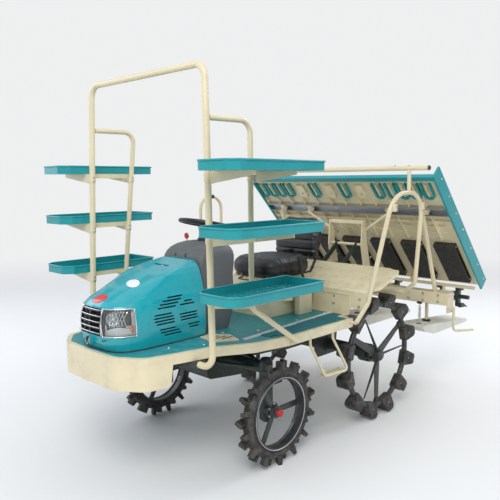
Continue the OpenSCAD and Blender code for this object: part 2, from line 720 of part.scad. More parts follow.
// The three tapered spokes of a rear wheel with a boss at the ring, grown by g all round
module ring_spokes(g) for (a = [0 : 120 : 240]) rotate([0, 0, a]) {
    translate([36, 0, -14 - g]) linear_extrude(10 + 2 * g)
        polygon([[0, -30 - g], [ring_r - 40, -17 - g], [ring_r - 40, 17 + g], [0, 30 + g]]);
    translate([ring_r - 26, 0, -19 - g]) cylinder(r = 23 + g, h = 22 + 2 * g, $fn = 24);
}

// Rib along the outer face of each spoke
module spoke_ribs() for (a = [0 : 120 : 240]) rotate([0, 0, a + 90]) rotate([90, 0, 0])
    translate([0, 0, -4])
    linear_extrude(8) polygon([[38, -6], [ring_r - 40, -6], [ring_r - 40, 0], [38, 18]]);

module ring_tube(g) rotate_extrude($fn = 96) translate([ring_r, 0]) circle(r = ring_tube_d / 2 + g,
    $fn = 20);

module rear_rim() color(dark) {
    translate([rear_x, wheelbase, rear_r]) rotate([0, 90, 0]) {
        ring_tube(0);
        translate([0, 0, -52]) cylinder(r = 62, h = 14);
        translate([0, 0, -38]) cylinder(r = 42, h = 62);
        ring_spokes(0);
        spoke_ribs();
    }
}

module rear_lug_ring() color(rubber) {
    w = rear_wheel_w / 2;
    lug_out = rear_lug_h;
    translate([rear_x, wheelbase, rear_r]) rotate([0, 90, 0]) difference() {
        for (i = [0 : rear_lugs - 1]) rotate([0, 0, (i + 0.5) * 360 / rear_lugs]) intersection() {
            translate([ring_r - 30, 0, -w]) linear_extrude(2 * w)
                polygon([[2, -50], [30, -58], [24 + lug_out, -36], [30 + lug_out, -22],
                    [30 + lug_out, 22],
                    [24 + lug_out, 36], [30, 58], [2, 50]]);
            rotate([90, 0, 0]) translate([0, 0, -60]) linear_extrude(120)
                polygon([[ring_r - 30, -26], [ring_r + 6, -32], [rear_r - 30, -w], [rear_r + 1, -w],
                    [rear_r + 1, w],
                    [rear_r - 30, w], [ring_r + 6, 32], [ring_r - 30, 26]]);
        }
        ring_tube(0.2);
        ring_spokes(seat_gap);
    }
}

module rear_rim_left() station() rear_rim();
module rear_rim_right() station() mirror([1, 0, 0]) rear_rim();
module rear_lugs_left() station() rear_lug_ring();
module rear_lugs_right() station() mirror([1, 0, 0]) rear_lug_ring();

// Lift linkage

low_link_x = 140;
up_link_x = 100;

// Flat link with an eye at each end, from pin p along the raised slope
module link(p, x, t, h, length) {
    translate([x, p.x, p.y]) rotate([link_slope, 0, 0]) difference() {
        union() {
            block([-t / 2, 0, -h / 2], [t / 2, length, h / 2]);
            for (y = [0, length])
                translate([-t / 2, y, 0]) rotate([0, 90, 0]) cylinder(r = h / 2 + 6, h = t);
        }
        for (y = [0, length])
            translate([-t / 2 - 1, y, 0]) rotate([0, 90, 0]) cylinder(r = pin_r + 0.1, h = t + 2);
    }
}

module lower_links() color(iron) station() {
    both_sides() link(low_pin, low_link_x, 16, 46, link_l);
    translate([0, low_pin.x, low_pin.y]) rotate([link_slope, 0, 0])
        bar([-low_link_x + 7, link_l * 0.66, 0], [low_link_x - 7, link_l * 0.66, 0], 17);
}

module upper_links() color(iron) station() {
    both_sides() link(up_pin, up_link_x, 14, 40, link_l);
    bar([-up_link_x + 6, ram_eye.x, ram_eye.y], [up_link_x - 6, ram_eye.x, ram_eye.y], pin_r);
}

ram_run = ram_eye - ram_pin;
ram_slope = atan2(ram_run.y, ram_run.x);
ram_len = norm(ram_run);

module ram() translate([0, ram_pin.x, ram_pin.y]) rotate([ram_slope, 0, 0]) children();

module lift_cylinder() color(dark) station() ram() difference() {
    union() {
        translate([-26, 0, 0]) rotate([0, 90, 0]) cylinder(r = 24, h = 52);
        rotate([-90, 0, 0]) rotate_extrude() polygon([[0, 10], [32, 10], [32, ram_len - 228],
            [26, ram_len - 228], [26, ram_len - 214], [15.1, ram_len - 214], [15.1, 60], [0, 60]]);
    }
    translate([-36, 0, 0]) rotate([0, 90, 0]) cylinder(r = pin_r + 0.1, h = 72);
}

module lift_rod() color("#b9bdbf") station() ram() difference() {
    union() {
        bar([0, ram_len - 270, 0], [0, ram_len - 22, 0], 15);
        translate([-22, ram_len, 0]) rotate([0, 90, 0]) cylinder(r = 29, h = 44);
    }
    translate([-23, ram_len, 0]) rotate([0, 90, 0]) cylinder(r = pin_r + 8, h = 46);
}

// Planting unit

beam = [1750, 815];
beam_h = 96;
beam_half_x = 850;
guard_x = 980;
platform_foot = [2214, 872];
platform_half_w = row_pitch * rows / 2 + 2;
planter_hub = [2282, 738];
// The lower rail that the platform slides on: way up the slope, depth below its face, radius
gate_s = 20;
gate_n = -56;
gate_r = 14;
// The channel under the platform, from and to up the slope, and the rollers that run in it
channel = [863, 942];
channel_t = 4;
channel_h = 40;
roller_x = [400, 720];
roller_r = (channel[1] - channel[0]) / 2 - channel_t - 2.5;
// Fingers, and cream tabs between them, near the platform's upper edge
finger_x = [-858, -751, -650, -549, -256, 58, 381, 501, 600, 699, 805];
tab_x = [-400, -91, 210];
finger_s = [1022, 1182];
finger_w = 86;

// Draws its children in the platform's frame: Y runs up the slope from its lower edge
module on_platform() translate([0, platform_foot.x, platform_foot.y]) rotate([180 - platform_slope, 0, 0])
    mirror([0, 0, 1]) children();

function slope_point(s, n) = platform_foot
    + s * [-cos(platform_slope), sin(platform_slope)] + n * [sin(platform_slope), cos(platform_slope)];

// The point that lies x to the left, s up the slope and n off the platform's face
function spot(x, s, n) = let (q = slope_point(s, n)) [x, q.x, q.y];

module planting_frame() color(cream) station() {
    half = beam_h / 2;
    block([-beam_half_x, beam.x - half, beam.y - half], [beam_half_x, beam.x + half, beam.y + half]);
    // Mast that hangs on the links
    both_sides() side_plate([[beam.x - 100, beam.y - half], [beam.x + half, beam.y - half],
        [beam.x + half, 930],
                [low_end.x + 45, low_end.y + 20], [up_end.x + 45, up_end.y + 20], [up_end.x + 20, 1420],
                    [up_end.x - 25, 1420],
            [up_end.x - 40, up_end.y], [low_end.x - 40, low_end.y - 30]], 162, 172);
    for (p = [low_end, up_end]) bar([-167, p.x, p.y], [167, p.x, p.y], pin_r);
    block([-163, up_end.x - 22, 1388], [163, up_end.x + 18, 1418]);
    // Posts and stays that carry the platform on rollers in its channel
    roller_s = (channel[0] + channel[1]) / 2;
    arm_n = -channel_h - 34;
    both_sides() {
        bar([roller_x[1], beam.x + 20, beam.y + half - 4], spot(roller_x[1], roller_s, arm_n), 17);
        bar([166, up_end.x + 18, 1330], spot(roller_x[0], roller_s, arm_n), 11);
        for (x = roller_x) {
            bar(spot(x, roller_s, arm_n - 6), spot(x, roller_s, -20), 8);
            bar(spot(x, roller_s, -36), spot(x, roller_s, -12), roller_r);
        }
    }
    // Planting cases behind the beam, one for each pair of rows
    for (x = [-2 * row_pitch, 0, 2 * row_pitch]) {
        difference() {
            side_plate(rounded([[beam.x + half - 2, beam.y - 40, 0],
                [planter_hub.x - 20, planter_hub.y - 48, 20],
                    [planter_hub.x + 46, planter_hub.y - 40, 30],
                        [planter_hub.x + 46, planter_hub.y + 40, 30],
                    [planter_hub.x - 30, planter_hub.y + 48, 20], [beam.x + half - 2, beam.y + 40, 0]]),
                        x - 34, x + 34);
            translate([x - 40, planter_hub.x, planter_hub.y]) rotate([0, 90, 0])
                cylinder(r = 18.1, h = 80);
        }
    }
    // Lower rail with the seedling gates
    gate = slope_point(gate_s, gate_n);
    for (x = [-2 * row_pitch, 0, 2 * row_pitch]) bar([x, planter_hub.x - 130, planter_hub.y + 20],
        [x, gate.x, gate.y], 14);
    bar([-870, gate.x, gate.y], [870, gate.x, gate.y], gate_r);
    // End brackets with the guard rods
    both_sides() {
        block([beam_half_x - 2, beam.x - 40, beam.y - 110], [beam_half_x + 8, beam.x + 60, beam.y + 48]);
        bent_tube([[beam_half_x + 22, beam.x + 40, beam.y - 70], [beam_half_x + 22, beam.x + 40, 555],
                [guard_x - 10, beam.x + 180, 555]], 10, 30);
        bar([beam_half_x + 6, beam.x + 40, beam.y - 80], [beam_half_x + 26, beam.x + 40, beam.y - 80],
            14);
    }
    // Hangers of the floats
    for (x = [-2 * row_pitch, 0, 2 * row_pitch]) block([x - 8, beam.x + 100, 590],
        [x + 8, beam.x + 130, 770]);
}

float_z = 500;

module float_body(x, w, nose_y) {
    translate([x - w / 2, 0, 0]) side_plate(rounded([[nose_y + 60, float_z + 44, 30],
        [nose_y + 200, float_z, 60],
            [float_tail_y, float_z, 0], [float_tail_y, float_z + 26, 0], [nose_y + 420, float_z + 62, 40],
            [nose_y + 120, float_z + 92, 20], [nose_y, float_z + 92, 10]]), 0, w);
    block([x - 20, beam.x + 98, float_z + 50], [x + 20, beam.x + 132, float_z + 90]);
}

module floats() color("#dcdccb") station() {
    float_body(0, 300, 1500);
    for (s = [-1, 1]) float_body(s * 2 * row_pitch, 210, 1600);
}

module seedling_platform() color(cream) station() on_platform() {
    w = platform_half_w;
    block([-w, 0, 0], [w, platform_l, 6]);
    // Lane dividers above and ribs below
    for (i = [0 : rows]) let (x = -w + 2 + i * (2 * w - 4) / rows) block([x - 2, 0, 5],
        [x + 2, platform_l - 60, 34]);
    for (i = [0 : rows * 2], s = [[560, channel[0] - 2], [channel[1] + 2, finger_s[0] - 10]])
        let (x = -w + 8 + i * (2 * w - 16) / (rows * 2)) block([x - 3, s[0], -26], [x + 3, s[1], 1]);
    // Ledges across the sheet, ribs inside the fingers, and tabs
    for (s = [776, 1214]) block([-w, s, -28], [w, s + 10, 1]);
    for (x = finger_x) block([x - 5, finger_s[0] + 30, -22], [x + 5, finger_s[1] - 4, 1]);
    for (x = tab_x) difference() {
        translate([x, 0, -22]) linear_extrude(23) polygon(rounded([[-35, finger_s[0], 33],
            [35, finger_s[0], 33],
            [35, finger_s[1] - 16, 6], [-35, finger_s[1] - 16, 6]]));
        translate([x, finger_s[0] + 51, -23]) cylinder(r = 9, h = 14);
    }
    // Shoes that slide on the lower rail
    for (x = [-300, 300]) difference() {
        block([x - 25, gate_s - gate_r - 6, gate_n + 6], [x + 25, gate_s + gate_r + 6, 1]);
        translate([x - 30, gate_s, gate_n]) rotate([0, 90, 0]) cylinder(r = gate_r + 0.5, h = 60);
    }
}

// U-shaped fingers and the top board on the platform's underside
module platform_fingers() color(teal) station() on_platform() {
    h = finger_w / 2;
    wall = 12;
    for (x = finger_x) translate([x, 0, -24]) linear_extrude(24 - seat_gap) difference() {
        polygon(rounded([[-h, finger_s[0], 38], [h, finger_s[0], 38], [h, finger_s[1], 0],
            [-h, finger_s[1], 0]]));
        polygon(rounded([[wall - h, finger_s[0] + wall, 27], [h - wall, finger_s[0] + wall, 27],
            [h - wall, finger_s[1] + 1, 0], [wall - h, finger_s[1] + 1, 0]]));
    }
    block([-platform_half_w, 1226, -34], [platform_half_w, platform_l + 6, -seat_gap]);
}

module platform_channel() color(grey) station() on_platform() difference() {
    block([-platform_half_w, channel[0], -channel_h], [platform_half_w, channel[1], -seat_gap]);
    block([-platform_half_w - 1, channel[0] + channel_t, -channel_h - 1],
        [platform_half_w + 1, channel[1] - channel_t, -channel_t - seat_gap]);
}

module platform_sides() color(teal) station() on_platform() {
    w = platform_half_w;
    both_sides() block([w + seat_gap, -10, -36], [w + 16, platform_l + 10, 74]);
}

module feed_belts() color(rubber) station() on_platform() {
    for (i = [0 : rows - 1]) let (x = (i - (rows - 1) / 2) * row_pitch)
        difference() {
            block([x - 92, 70, -44], [x + 92, 520, -seat_gap]);
            block([x - 93, 82, -32], [x + 93, 508, -8]);
        }
}

module planter(x) color(iron) station() translate([x, planter_hub.x, planter_hub.y]) rotate([0, 90, 0]) {
    translate([0, 0, -row_pitch / 2 - 20]) cylinder(r = 18, h = row_pitch + 40);
    for (s = [-1, 1]) translate([0, 0, s * 72 - 14]) {
        // Rotor case with an arm and a claw at each end
        linear_extrude(28) polygon(rounded([[-92, -26, 24], [92, -26, 24], [92, 26, 24], [-92, 26, 24]]));
        for (e = [-1, 1]) rotate([0, 0, e > 0 ? 0 : 180]) {
            translate([74, 0, s > 0 ? 27 : -27]) linear_extrude(28)
                polygon([[-18, -20], [18, -22], [22, 60], [30, 96], [22, 98], [8, 66], [-16, 24]]);
        }
    }
}

module planter_left() planter(2 * row_pitch);
module planter_centre() planter(0);
module planter_right() planter(-2 * row_pitch);

chassis_frame();
front_axle_case();
rear_axle_case();
engine_block();
deck_skirt();
deck();
dash_cowl();
seat_pedestal();
seat_cushion();
seat_backrest();
rear_cover();
side_steps();
gantry();
rack_frame_left();
rack_frame_right();
trays_left();
trays_right();
handrail_left();
grab_hoop_right();
lever();
bonnet();
grille();
headlamps();
steering_wheel();
knuckle_left();
knuckle_right();
front_rim_left();
front_rim_right();
front_tyre_left();
front_tyre_right();
rear_rim_left();
rear_rim_right();
rear_lugs_left();
rear_lugs_right();
lower_links();
upper_links();
lift_cylinder();
lift_rod();
planting_frame();
floats();
seedling_platform();
platform_sides();
platform_fingers();
platform_channel();
feed_belts();
planter_left();
planter_centre();
planter_right();
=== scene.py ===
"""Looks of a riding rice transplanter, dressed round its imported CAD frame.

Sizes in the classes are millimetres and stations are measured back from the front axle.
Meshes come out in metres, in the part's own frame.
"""

import json
import logging
import math
from dataclasses import dataclass, field
from enum import Enum
from typing import Any, Iterable, Sequence

import bmesh
import bpy
from mathutils import Matrix, Vector

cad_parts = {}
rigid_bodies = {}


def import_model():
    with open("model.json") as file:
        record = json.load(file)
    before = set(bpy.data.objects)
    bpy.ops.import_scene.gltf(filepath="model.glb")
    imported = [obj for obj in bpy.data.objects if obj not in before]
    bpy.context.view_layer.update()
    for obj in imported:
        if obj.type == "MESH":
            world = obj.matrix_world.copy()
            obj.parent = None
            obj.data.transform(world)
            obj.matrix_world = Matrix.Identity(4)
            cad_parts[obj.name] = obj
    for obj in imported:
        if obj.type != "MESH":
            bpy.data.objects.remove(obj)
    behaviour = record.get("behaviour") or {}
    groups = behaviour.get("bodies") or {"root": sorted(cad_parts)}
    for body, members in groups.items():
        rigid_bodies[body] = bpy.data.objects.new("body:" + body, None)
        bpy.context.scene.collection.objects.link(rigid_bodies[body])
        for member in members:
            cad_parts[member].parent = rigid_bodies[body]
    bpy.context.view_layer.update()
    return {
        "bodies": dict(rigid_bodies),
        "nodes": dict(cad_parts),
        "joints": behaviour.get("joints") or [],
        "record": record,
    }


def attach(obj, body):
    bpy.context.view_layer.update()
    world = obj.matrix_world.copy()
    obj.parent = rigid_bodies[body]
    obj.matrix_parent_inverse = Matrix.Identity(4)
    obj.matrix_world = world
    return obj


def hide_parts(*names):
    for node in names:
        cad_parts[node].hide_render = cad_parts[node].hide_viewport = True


LOG = logging.getLogger("transplanter")
MID_STATION = 725.0
Rgb = tuple[float, float, float]
Point = tuple[float, float, float]
STEERING_HUB: Point = (0.0, -40.0, 1470.0)
STEERING_RAKE = 12.0


def at(x: float, y: float, z: float) -> Vector:
    """Turn a station point in millimetres into the part's frame in metres.

    Args:
        x: Distance to the left of the middle plane.
        y: Station behind the front axle.
        z: Height above the ground.

    Returns:
        The point in metres.
    """
    return Vector((x, y - MID_STATION, z)) / 1000.0


def upright(x: float) -> Matrix:
    """Give the frame of a lengthwise upright plate, whose outline is station and height.

    Args:
        x: Where the plate's right face lies.

    Returns:
        The frame, in station millimetres.
    """
    return Matrix(((0, 0, 1, x), (1, 0, 0, 0), (0, 1, 0, 0), (0, 0, 0, 1)))


class Side(Enum):
    """The machine's two sides."""

    LEFT = 1
    RIGHT = -1


class Field:
    """A socket of a shader graph that takes part in Python expressions."""

    def __init__(self, graph: "Graph", socket: bpy.types.NodeSocket) -> None:
        """Keep the socket and the graph that owns it."""
        self.graph = graph
        self.socket = socket

    def _math(self, operation: str, first: "Operand", second: "Operand") -> "Field":
        """Add one Math node and return its value."""
        node = self.graph.node("ShaderNodeMath", {"operation": operation}, {0: first, 1: second})
        return node[0]

    def __add__(self, other: "Operand") -> "Field":
        """Add."""
        return self._math("ADD", self, other)

    def __radd__(self, other: "Operand") -> "Field":
        """Add, with the field on the right."""
        return self._math("ADD", other, self)

    def __sub__(self, other: "Operand") -> "Field":
        """Subtract."""
        return self._math("SUBTRACT", self, other)

    def __rsub__(self, other: "Operand") -> "Field":
        """Subtract the field from a number."""
        return self._math("SUBTRACT", other, self)

    def __mul__(self, other: "Operand") -> "Field":
        """Multiply."""
        return self._math("MULTIPLY", self, other)

    def __rmul__(self, other: "Operand") -> "Field":
        """Multiply, with the field on the right."""
        return self._math("MULTIPLY", other, self)

    def __truediv__(self, other: "Operand") -> "Field":
        """Divide."""
        return self._math("DIVIDE", self, other)

    def __rtruediv__(self, other: "Operand") -> "Field":
        """Divide a number by the field."""
        return self._math("DIVIDE", other, self)

    def __gt__(self, other: "Operand") -> "Field":
        """Give 1 where the field is greater."""
        return self._math("GREATER_THAN", self, other)

    def __lt__(self, other: "Operand") -> "Field":
        """Give 1 where the field is less."""
        return self._math("LESS_THAN", self, other)

    def at_least(self, other: "Operand") -> "Field":
        """Take the greater value."""
        return self._math("MAXIMUM", self, other)

    def step(self, low: float, high: float) -> "Field":
        """Map the values from low to high smoothly on to 0 to 1.

        Args:
            low: The value that becomes 0.
            high: The value that becomes 1.

        Returns:
            The mapped field, held between 0 and 1.
        """
        node = self.graph.node(
            "ShaderNodeMapRange",
            {"interpolation_type": "SMOOTHSTEP", "clamp": True},
            {"Value": self, "From Min": low, "From Max": high},
        )
        return node["Result"]


Operand = Field | float | int
Value = Field | float | int | Sequence[float]


class Node:
    """A shader node whose outputs are read by name or number."""

    def __init__(self, graph: "Graph", node: bpy.types.ShaderNode) -> None:
        """Keep the node and its graph."""
        self.graph = graph
        self.node = node

    def __getitem__(self, key: str | int) -> Field:
        """Return one output as a field."""
        return Field(self.graph, self.node.outputs[key])


class Graph:
    """The node tree of one material."""

    def __init__(self, tree: bpy.types.NodeTree) -> None:
        """Empty the tree and keep it."""
        self.tree = tree
        tree.nodes.clear()

    def node(self, kind: str, settings: dict[str, Any] | None = None,
             inputs: dict[str | int, Value] | None = None) -> Node:
        """Add a node, set it up, and then fill its sockets.

        Args:
            kind: The node's type name.
            settings: Properties set first; "stops" fills a colour ramp.
            inputs: A value or a field for each socket, by name or number.

        Returns:
            The new node.
        """
        made = self.tree.nodes.new(kind)
        for name, value in (settings or {}).items():
            if name == "stops":
                self._stops(made, value)
            else:
                setattr(made, name, value)
        for key, value in (inputs or {}).items():
            socket = made.inputs[key]
            if isinstance(value, Field):
                self.tree.links.new(value.socket, socket)
            elif isinstance(value, (int, float)):
                socket.default_value = value
            else:
                wanted = len(socket.default_value)
                socket.default_value = (tuple(value) + (1.0,))[:wanted]
        return Node(self, made)

    @staticmethod
    def _stops(ramp: bpy.types.ShaderNode, stops: Sequence[tuple[float, Rgb]]) -> None:
        """Fill a colour ramp with stops of place and colour."""
        elements = ramp.color_ramp.elements
        while len(elements) < len(stops):
            elements.new(0.5)
        for element, (place, colour) in zip(elements, stops):
            element.position = place
            element.color = (*colour, 1.0)

    def place(self) -> Field:
        """Return the object's own coordinates."""
        return self.node("ShaderNodeTexCoord")["Object"]

    def noise(self, scale: float, detail: float = 4.0, roughness: float = 0.55,
              stretch: Point | None = None) -> Field:
        """Return a noise value between 0 and 1.

        Args:
            scale: Features in a metre.
            detail: Octaves.
            roughness: Weight of the fine octaves.
            stretch: Factors on the three axes, for grain that runs one way.

        Returns:
            The noise as a field.
        """
        where: Field = self.place()
        if stretch is not None:
            where = self.node("ShaderNodeVectorMath", {"operation": "MULTIPLY"},
                              {0: where, 1: stretch})["Vector"]
        node = self.node("ShaderNodeTexNoise", {"noise_dimensions": "3D"},
                         {"Vector": where, "Scale": scale, "Detail": detail, "Roughness": roughness})
        return node[0]

    def cells(self, scale: float) -> Field:
        """Return the distance from the middle of scattered cells."""
        node = self.node("ShaderNodeTexVoronoi", {"feature": "F1"},
                         {"Vector": self.place(), "Scale": scale})
        return node["Distance"]

    def axis(self, name: str) -> Field:
        """Return one of the object's own coordinates, X, Y or Z, in metres."""
        return self.node("ShaderNodeSeparateXYZ", inputs={0: self.place()})[name]

    def facing_up(self) -> Field:
        """Return 1 on level faces that look up, and 0 on upright ones."""
        normal = self.node("ShaderNodeNewGeometry")["Normal"]
        return self.node("ShaderNodeSeparateXYZ", inputs={0: normal})["Z"].step(0.2, 0.95)

    def mix(self, share: Value, first: Value, second: Value) -> Field:
        """Mix two colours.

        Args:
            share: How much of the second colour shows.
            first: A colour or a field.
            second: A colour or a field.

        Returns:
            The mixed colour.
        """
        node = self.node("ShaderNodeMix", {"data_type": "RGBA", "blend_type": "MIX"},
                         {0: share, 6: first, 7: second})
        return node[2]

    def bump(self, height: Field, strength: float, distance: float, below: Field | None = None) -> Field:
        """Return a normal bumped by a height.

        Args:
            height: The height as a field of 0 to 1.
            strength: Share of the effect.
            distance: Depth in metres.
            below: A normal that this one is laid on.

        Returns:
            The bumped normal.
        """
        inputs: dict[str | int, Value] = {"Height": height, "Strength": strength, "Distance": distance}
        if below is not None:
            inputs["Normal"] = below
        return self.node("ShaderNodeBump", inputs=inputs)["Normal"]

    def soft_edge(self, radius: float) -> Field:
        """Return the normal with its edges rounded to a radius in metres."""
        return self.node("ShaderNodeBevel", {"samples": 4}, {"Radius": radius})["Normal"]

    def edge(self, radius: float) -> Field:
        """Return 1 along sharp edges and 0 on open faces."""
        rounded = self.soft_edge(radius)
        plain = self.node("ShaderNodeNewGeometry")["Normal"]
        dot = self.node("ShaderNodeVectorMath", {"operation": "DOT_PRODUCT"},
                        {0: rounded, 1: plain})["Value"]
        return (1.0 - dot).step(0.01, 0.16)


def shade(name: str) -> tuple[bpy.types.Material, Graph]:
    """Make an empty node material.

    Args:
        name: The material's name.

    Returns:
        The material and its graph.
    """
    material = bpy.data.materials.new(name)
    material.use_nodes = True
    return material, Graph(material.node_tree)


@dataclass(frozen=True)
class Finish:
    """A finish of one material slot, made as a principled surface.

    Subclasses say in surface() what varies over it.
    """

    name: str
    slot: str
    colour: Rgb
    roughness: float = 0.45
    fixed: tuple[tuple[str, float], ...] = ()

    def surface(self, graph: Graph) -> dict[str | int, Value]:
        """Return the principled shader's sockets."""
        tone = graph.noise(9.0)
        deep = tuple(c * 0.9 for c in self.colour)
        return {"Base Color": graph.mix(tone, deep, self.colour),
                "Roughness": self.roughness + (tone - 0.5) * 0.1}

    def material(self) -> bpy.types.Material:
        """Return the finish's material, made once."""
        known = bpy.data.materials.get(self.name)
        if known is not None:
            return known
        material, graph = shade(self.name)
        self.wire(graph)
        return material

    def wire(self, graph: Graph) -> None:
        """Wire the surface to the material's output."""
        inputs: dict[str | int, Value] = dict(self.fixed)
        inputs.update(self.surface(graph))
        shader = graph.node("ShaderNodeBsdfPrincipled", inputs=inputs)
        graph.node("ShaderNodeOutputMaterial", inputs={"Surface": shader["BSDF"]})


@dataclass(frozen=True)
class Moulded(Finish):
    """Moulded plastic with a fine grain, soft edges and settled dust."""

    grain: float = 900.0
    depth: float = 0.00012
    dust: float = 0.12
    dust_colour: Rgb = (0.52, 0.49, 0.43)
    edge_radius: float = 0.0015
    edge_reach: float = 0.004
    edge_wear: float = 0.22

    def surface(self, graph: Graph) -> dict[str | int, Value]:
        """Return colour, gloss and normal of the moulding."""
        tone = graph.noise(6.0, 3.0)
        fine = graph.noise(self.grain, 2.0, 0.6)
        deep = tuple(c * 0.94 for c in self.colour)
        lit = tuple(min(1.0, c * 1.06) for c in self.colour)
        body = graph.mix(tone.step(0.3, 0.7), deep, lit)
        worn = graph.edge(self.edge_reach) * self.edge_wear
        body = graph.mix(worn, body, tuple(min(1.0, c * 1.25 + 0.06) for c in self.colour))
        dusty = graph.facing_up() * graph.noise(14.0, 6.0, 0.7).step(0.42, 0.75) * self.dust
        body = graph.mix(dusty, body, self.dust_colour)
        rough = self.roughness + (tone - 0.5) * 0.12 + dusty * 0.6 + (fine - 0.5) * 0.06
        normal = graph.bump(fine, 0.5, self.depth, graph.soft_edge(self.edge_radius))
        return {"Base Color": body, "Roughness": rough, "Normal": normal}


@dataclass(frozen=True)
class Floor(Moulded):
    """Moulded floor with darker stripes along its sides as painted shade in the grooves of its treads, and
    a trodden middle.
    """

    tread_from: float = 0.448
    tread_start: float = -0.775
    middle_start: float = -0.930
    pitch: float = 0.0322
    # darkening factor of the painted shade in the tread grooves
    groove_shade_tone: float = 0.42
    middle: Rgb = (0.018, 0.235, 0.245)
    trodden: Rgb = (0.05, 0.20, 0.21)

    def surface(self, graph: Graph) -> dict[str | int, Value]:
        """Return colour, gloss and normal of the floor."""
        made = super().surface(graph)
        side = graph.node("ShaderNodeMath", {"operation": "ABSOLUTE"}, {0: graph.axis("X")})[0]
        along = graph.axis("Y")
        outer = side > self.tread_from
        rows = graph.node("ShaderNodeMath", {"operation": "FRACT"},
                          {0: (side - self.tread_from) / self.pitch})[0]
        # darker stripes across the treads: painted shade in their grooves
        dark = graph.mix((rows > 0.5) * (along > self.tread_start) * outer, made["Base Color"],
                         tuple(c * self.groove_shade_tone for c in self.colour))
        trodden = graph.mix(graph.noise(30.0, 6.0, 0.7).step(0.35, 0.8) * 0.5, self.middle, self.trodden)
        inside = (along > self.middle_start) * (side < self.tread_from)
        made["Base Color"] = graph.mix(inside, dark, trodden)
        return made


@dataclass(frozen=True)
class Enamel(Finish):
    """Sprayed paint on tube or sheet, with an even skin and grime low down."""

    grime: float = 0.25
    grime_colour: Rgb = (0.30, 0.25, 0.18)
    skin: float = 0.00004
    wear_colour: Rgb = (0.42, 0.38, 0.30)
    metal_edge: float = 0.18
    edge_reach: float = 0.003
    edge_radius: float = 0.0012

    def surface(self, graph: Graph) -> dict[str | int, Value]:
        """Return colour, gloss and normal of the paint."""
        tone = graph.noise(5.0, 3.0)
        peel = graph.noise(420.0, 2.0)
        specks = graph.noise(160.0, 3.0, 0.7).step(0.68, 0.78)
        body = graph.mix(tone.step(0.3, 0.7), tuple(c * 0.93 for c in self.colour), self.colour)
        low = 1.0 - graph.axis("Z").step(0.15, 1.0)
        smear = graph.noise(24.0, 6.0, 0.7).step(0.45, 0.8)
        dirty = (smear * (low * 0.8 + 0.2) + specks * 0.25) * self.grime
        body = graph.mix(dirty, body, self.grime_colour)
        flakes = graph.noise(70.0, 5.0, 0.7).step(0.55, 0.7)
        chipped = graph.edge(self.edge_reach) * flakes * self.metal_edge
        body = graph.mix(chipped, body, self.wear_colour)
        rough = self.roughness + (tone - 0.5) * 0.1 + dirty * 0.5
        normal = graph.bump(peel, 0.35, self.skin, graph.soft_edge(self.edge_radius))
        return {"Base Color": body, "Roughness": rough, "Normal": normal}


@dataclass(frozen=True)
class Cast(Finish):
    """Painted sand casting with a coarse skin and dry mud in its corners."""

    skin: float = 0.0006
    mud: float = 0.25
    mud_colour: Rgb = (0.36, 0.31, 0.24)
    edge_radius: float = 0.002

    def surface(self, graph: Graph) -> dict[str | int, Value]:
        """Return colour, gloss and normal of the casting."""
        coarse = graph.noise(260.0, 4.0, 0.6)
        broad = graph.noise(12.0, 5.0, 0.65)
        body = graph.mix(broad.step(0.3, 0.7), tuple(c * 0.75 for c in self.colour),
                         tuple(min(1.0, c * 1.2) for c in self.colour))
        dry = graph.noise(30.0, 7.0, 0.75).step(0.5, 0.85) * self.mud
        body = graph.mix(dry, body, self.mud_colour)
        rough = self.roughness + (broad - 0.5) * 0.15 + dry * 0.4
        normal = graph.bump(coarse, 0.5, self.skin, graph.soft_edge(self.edge_radius))
        return {"Base Color": body, "Roughness": rough, "Normal": normal}


@dataclass(frozen=True)
class Rubber(Finish):
    """Moulded rubber with a dull bloom and dust on what has touched the ground."""

    dust: float = 0.5
    dust_colour: Rgb = (0.20, 0.18, 0.155)
    skin: float = 0.0004
    scuff: float = 0.35
    edge_reach: float = 0.004
    edge_radius: float = 0.002

    def surface(self, graph: Graph) -> dict[str | int, Value]:
        """Return colour, gloss and normal of the rubber."""
        fine = graph.noise(700.0, 3.0, 0.6)
        broad = graph.noise(18.0, 6.0, 0.7)
        bloom = broad.step(0.35, 0.75) * self.dust
        scuffed = graph.edge(self.edge_reach) * self.scuff
        body = graph.mix(bloom, self.colour, self.dust_colour)
        body = graph.mix(scuffed, body, tuple(c * 1.35 for c in self.dust_colour))
        rough = self.roughness + bloom * 0.25 + (fine - 0.5) * 0.08
        normal = graph.bump(fine, 0.5, self.skin, graph.soft_edge(self.edge_radius))
        return {"Base Color": body, "Roughness": rough, "Normal": normal}


@dataclass(frozen=True)
class Vinyl(Finish):
    """Grained seat vinyl with a low sheen."""

    grain: float = 520.0
    grain_depth: float = 0.0005
    crease_depth: float = 0.0015
    dust: float = 0.14
    dust_colour: Rgb = (0.42, 0.40, 0.36)

    def surface(self, graph: Graph) -> dict[str | int, Value]:
        """Return colour, gloss and normal of the vinyl."""
        leather = graph.cells(self.grain)
        creases = graph.noise(60.0, 5.0, 0.6)
        body = graph.mix(creases.step(0.35, 0.75), self.colour, tuple(c * 1.7 + 0.01 for c in self.colour))
        dusty = graph.facing_up() * graph.noise(11.0, 6.0, 0.7).step(0.5, 0.85) * self.dust
        body = graph.mix(dusty, body, self.dust_colour)
        rough = self.roughness + (creases - 0.5) * 0.2 + dusty
        normal = graph.bump(leather, 0.55, self.grain_depth)
        normal = graph.bump(creases, 0.25, self.crease_depth, normal)
        return {"Base Color": body, "Roughness": rough, "Normal": normal}


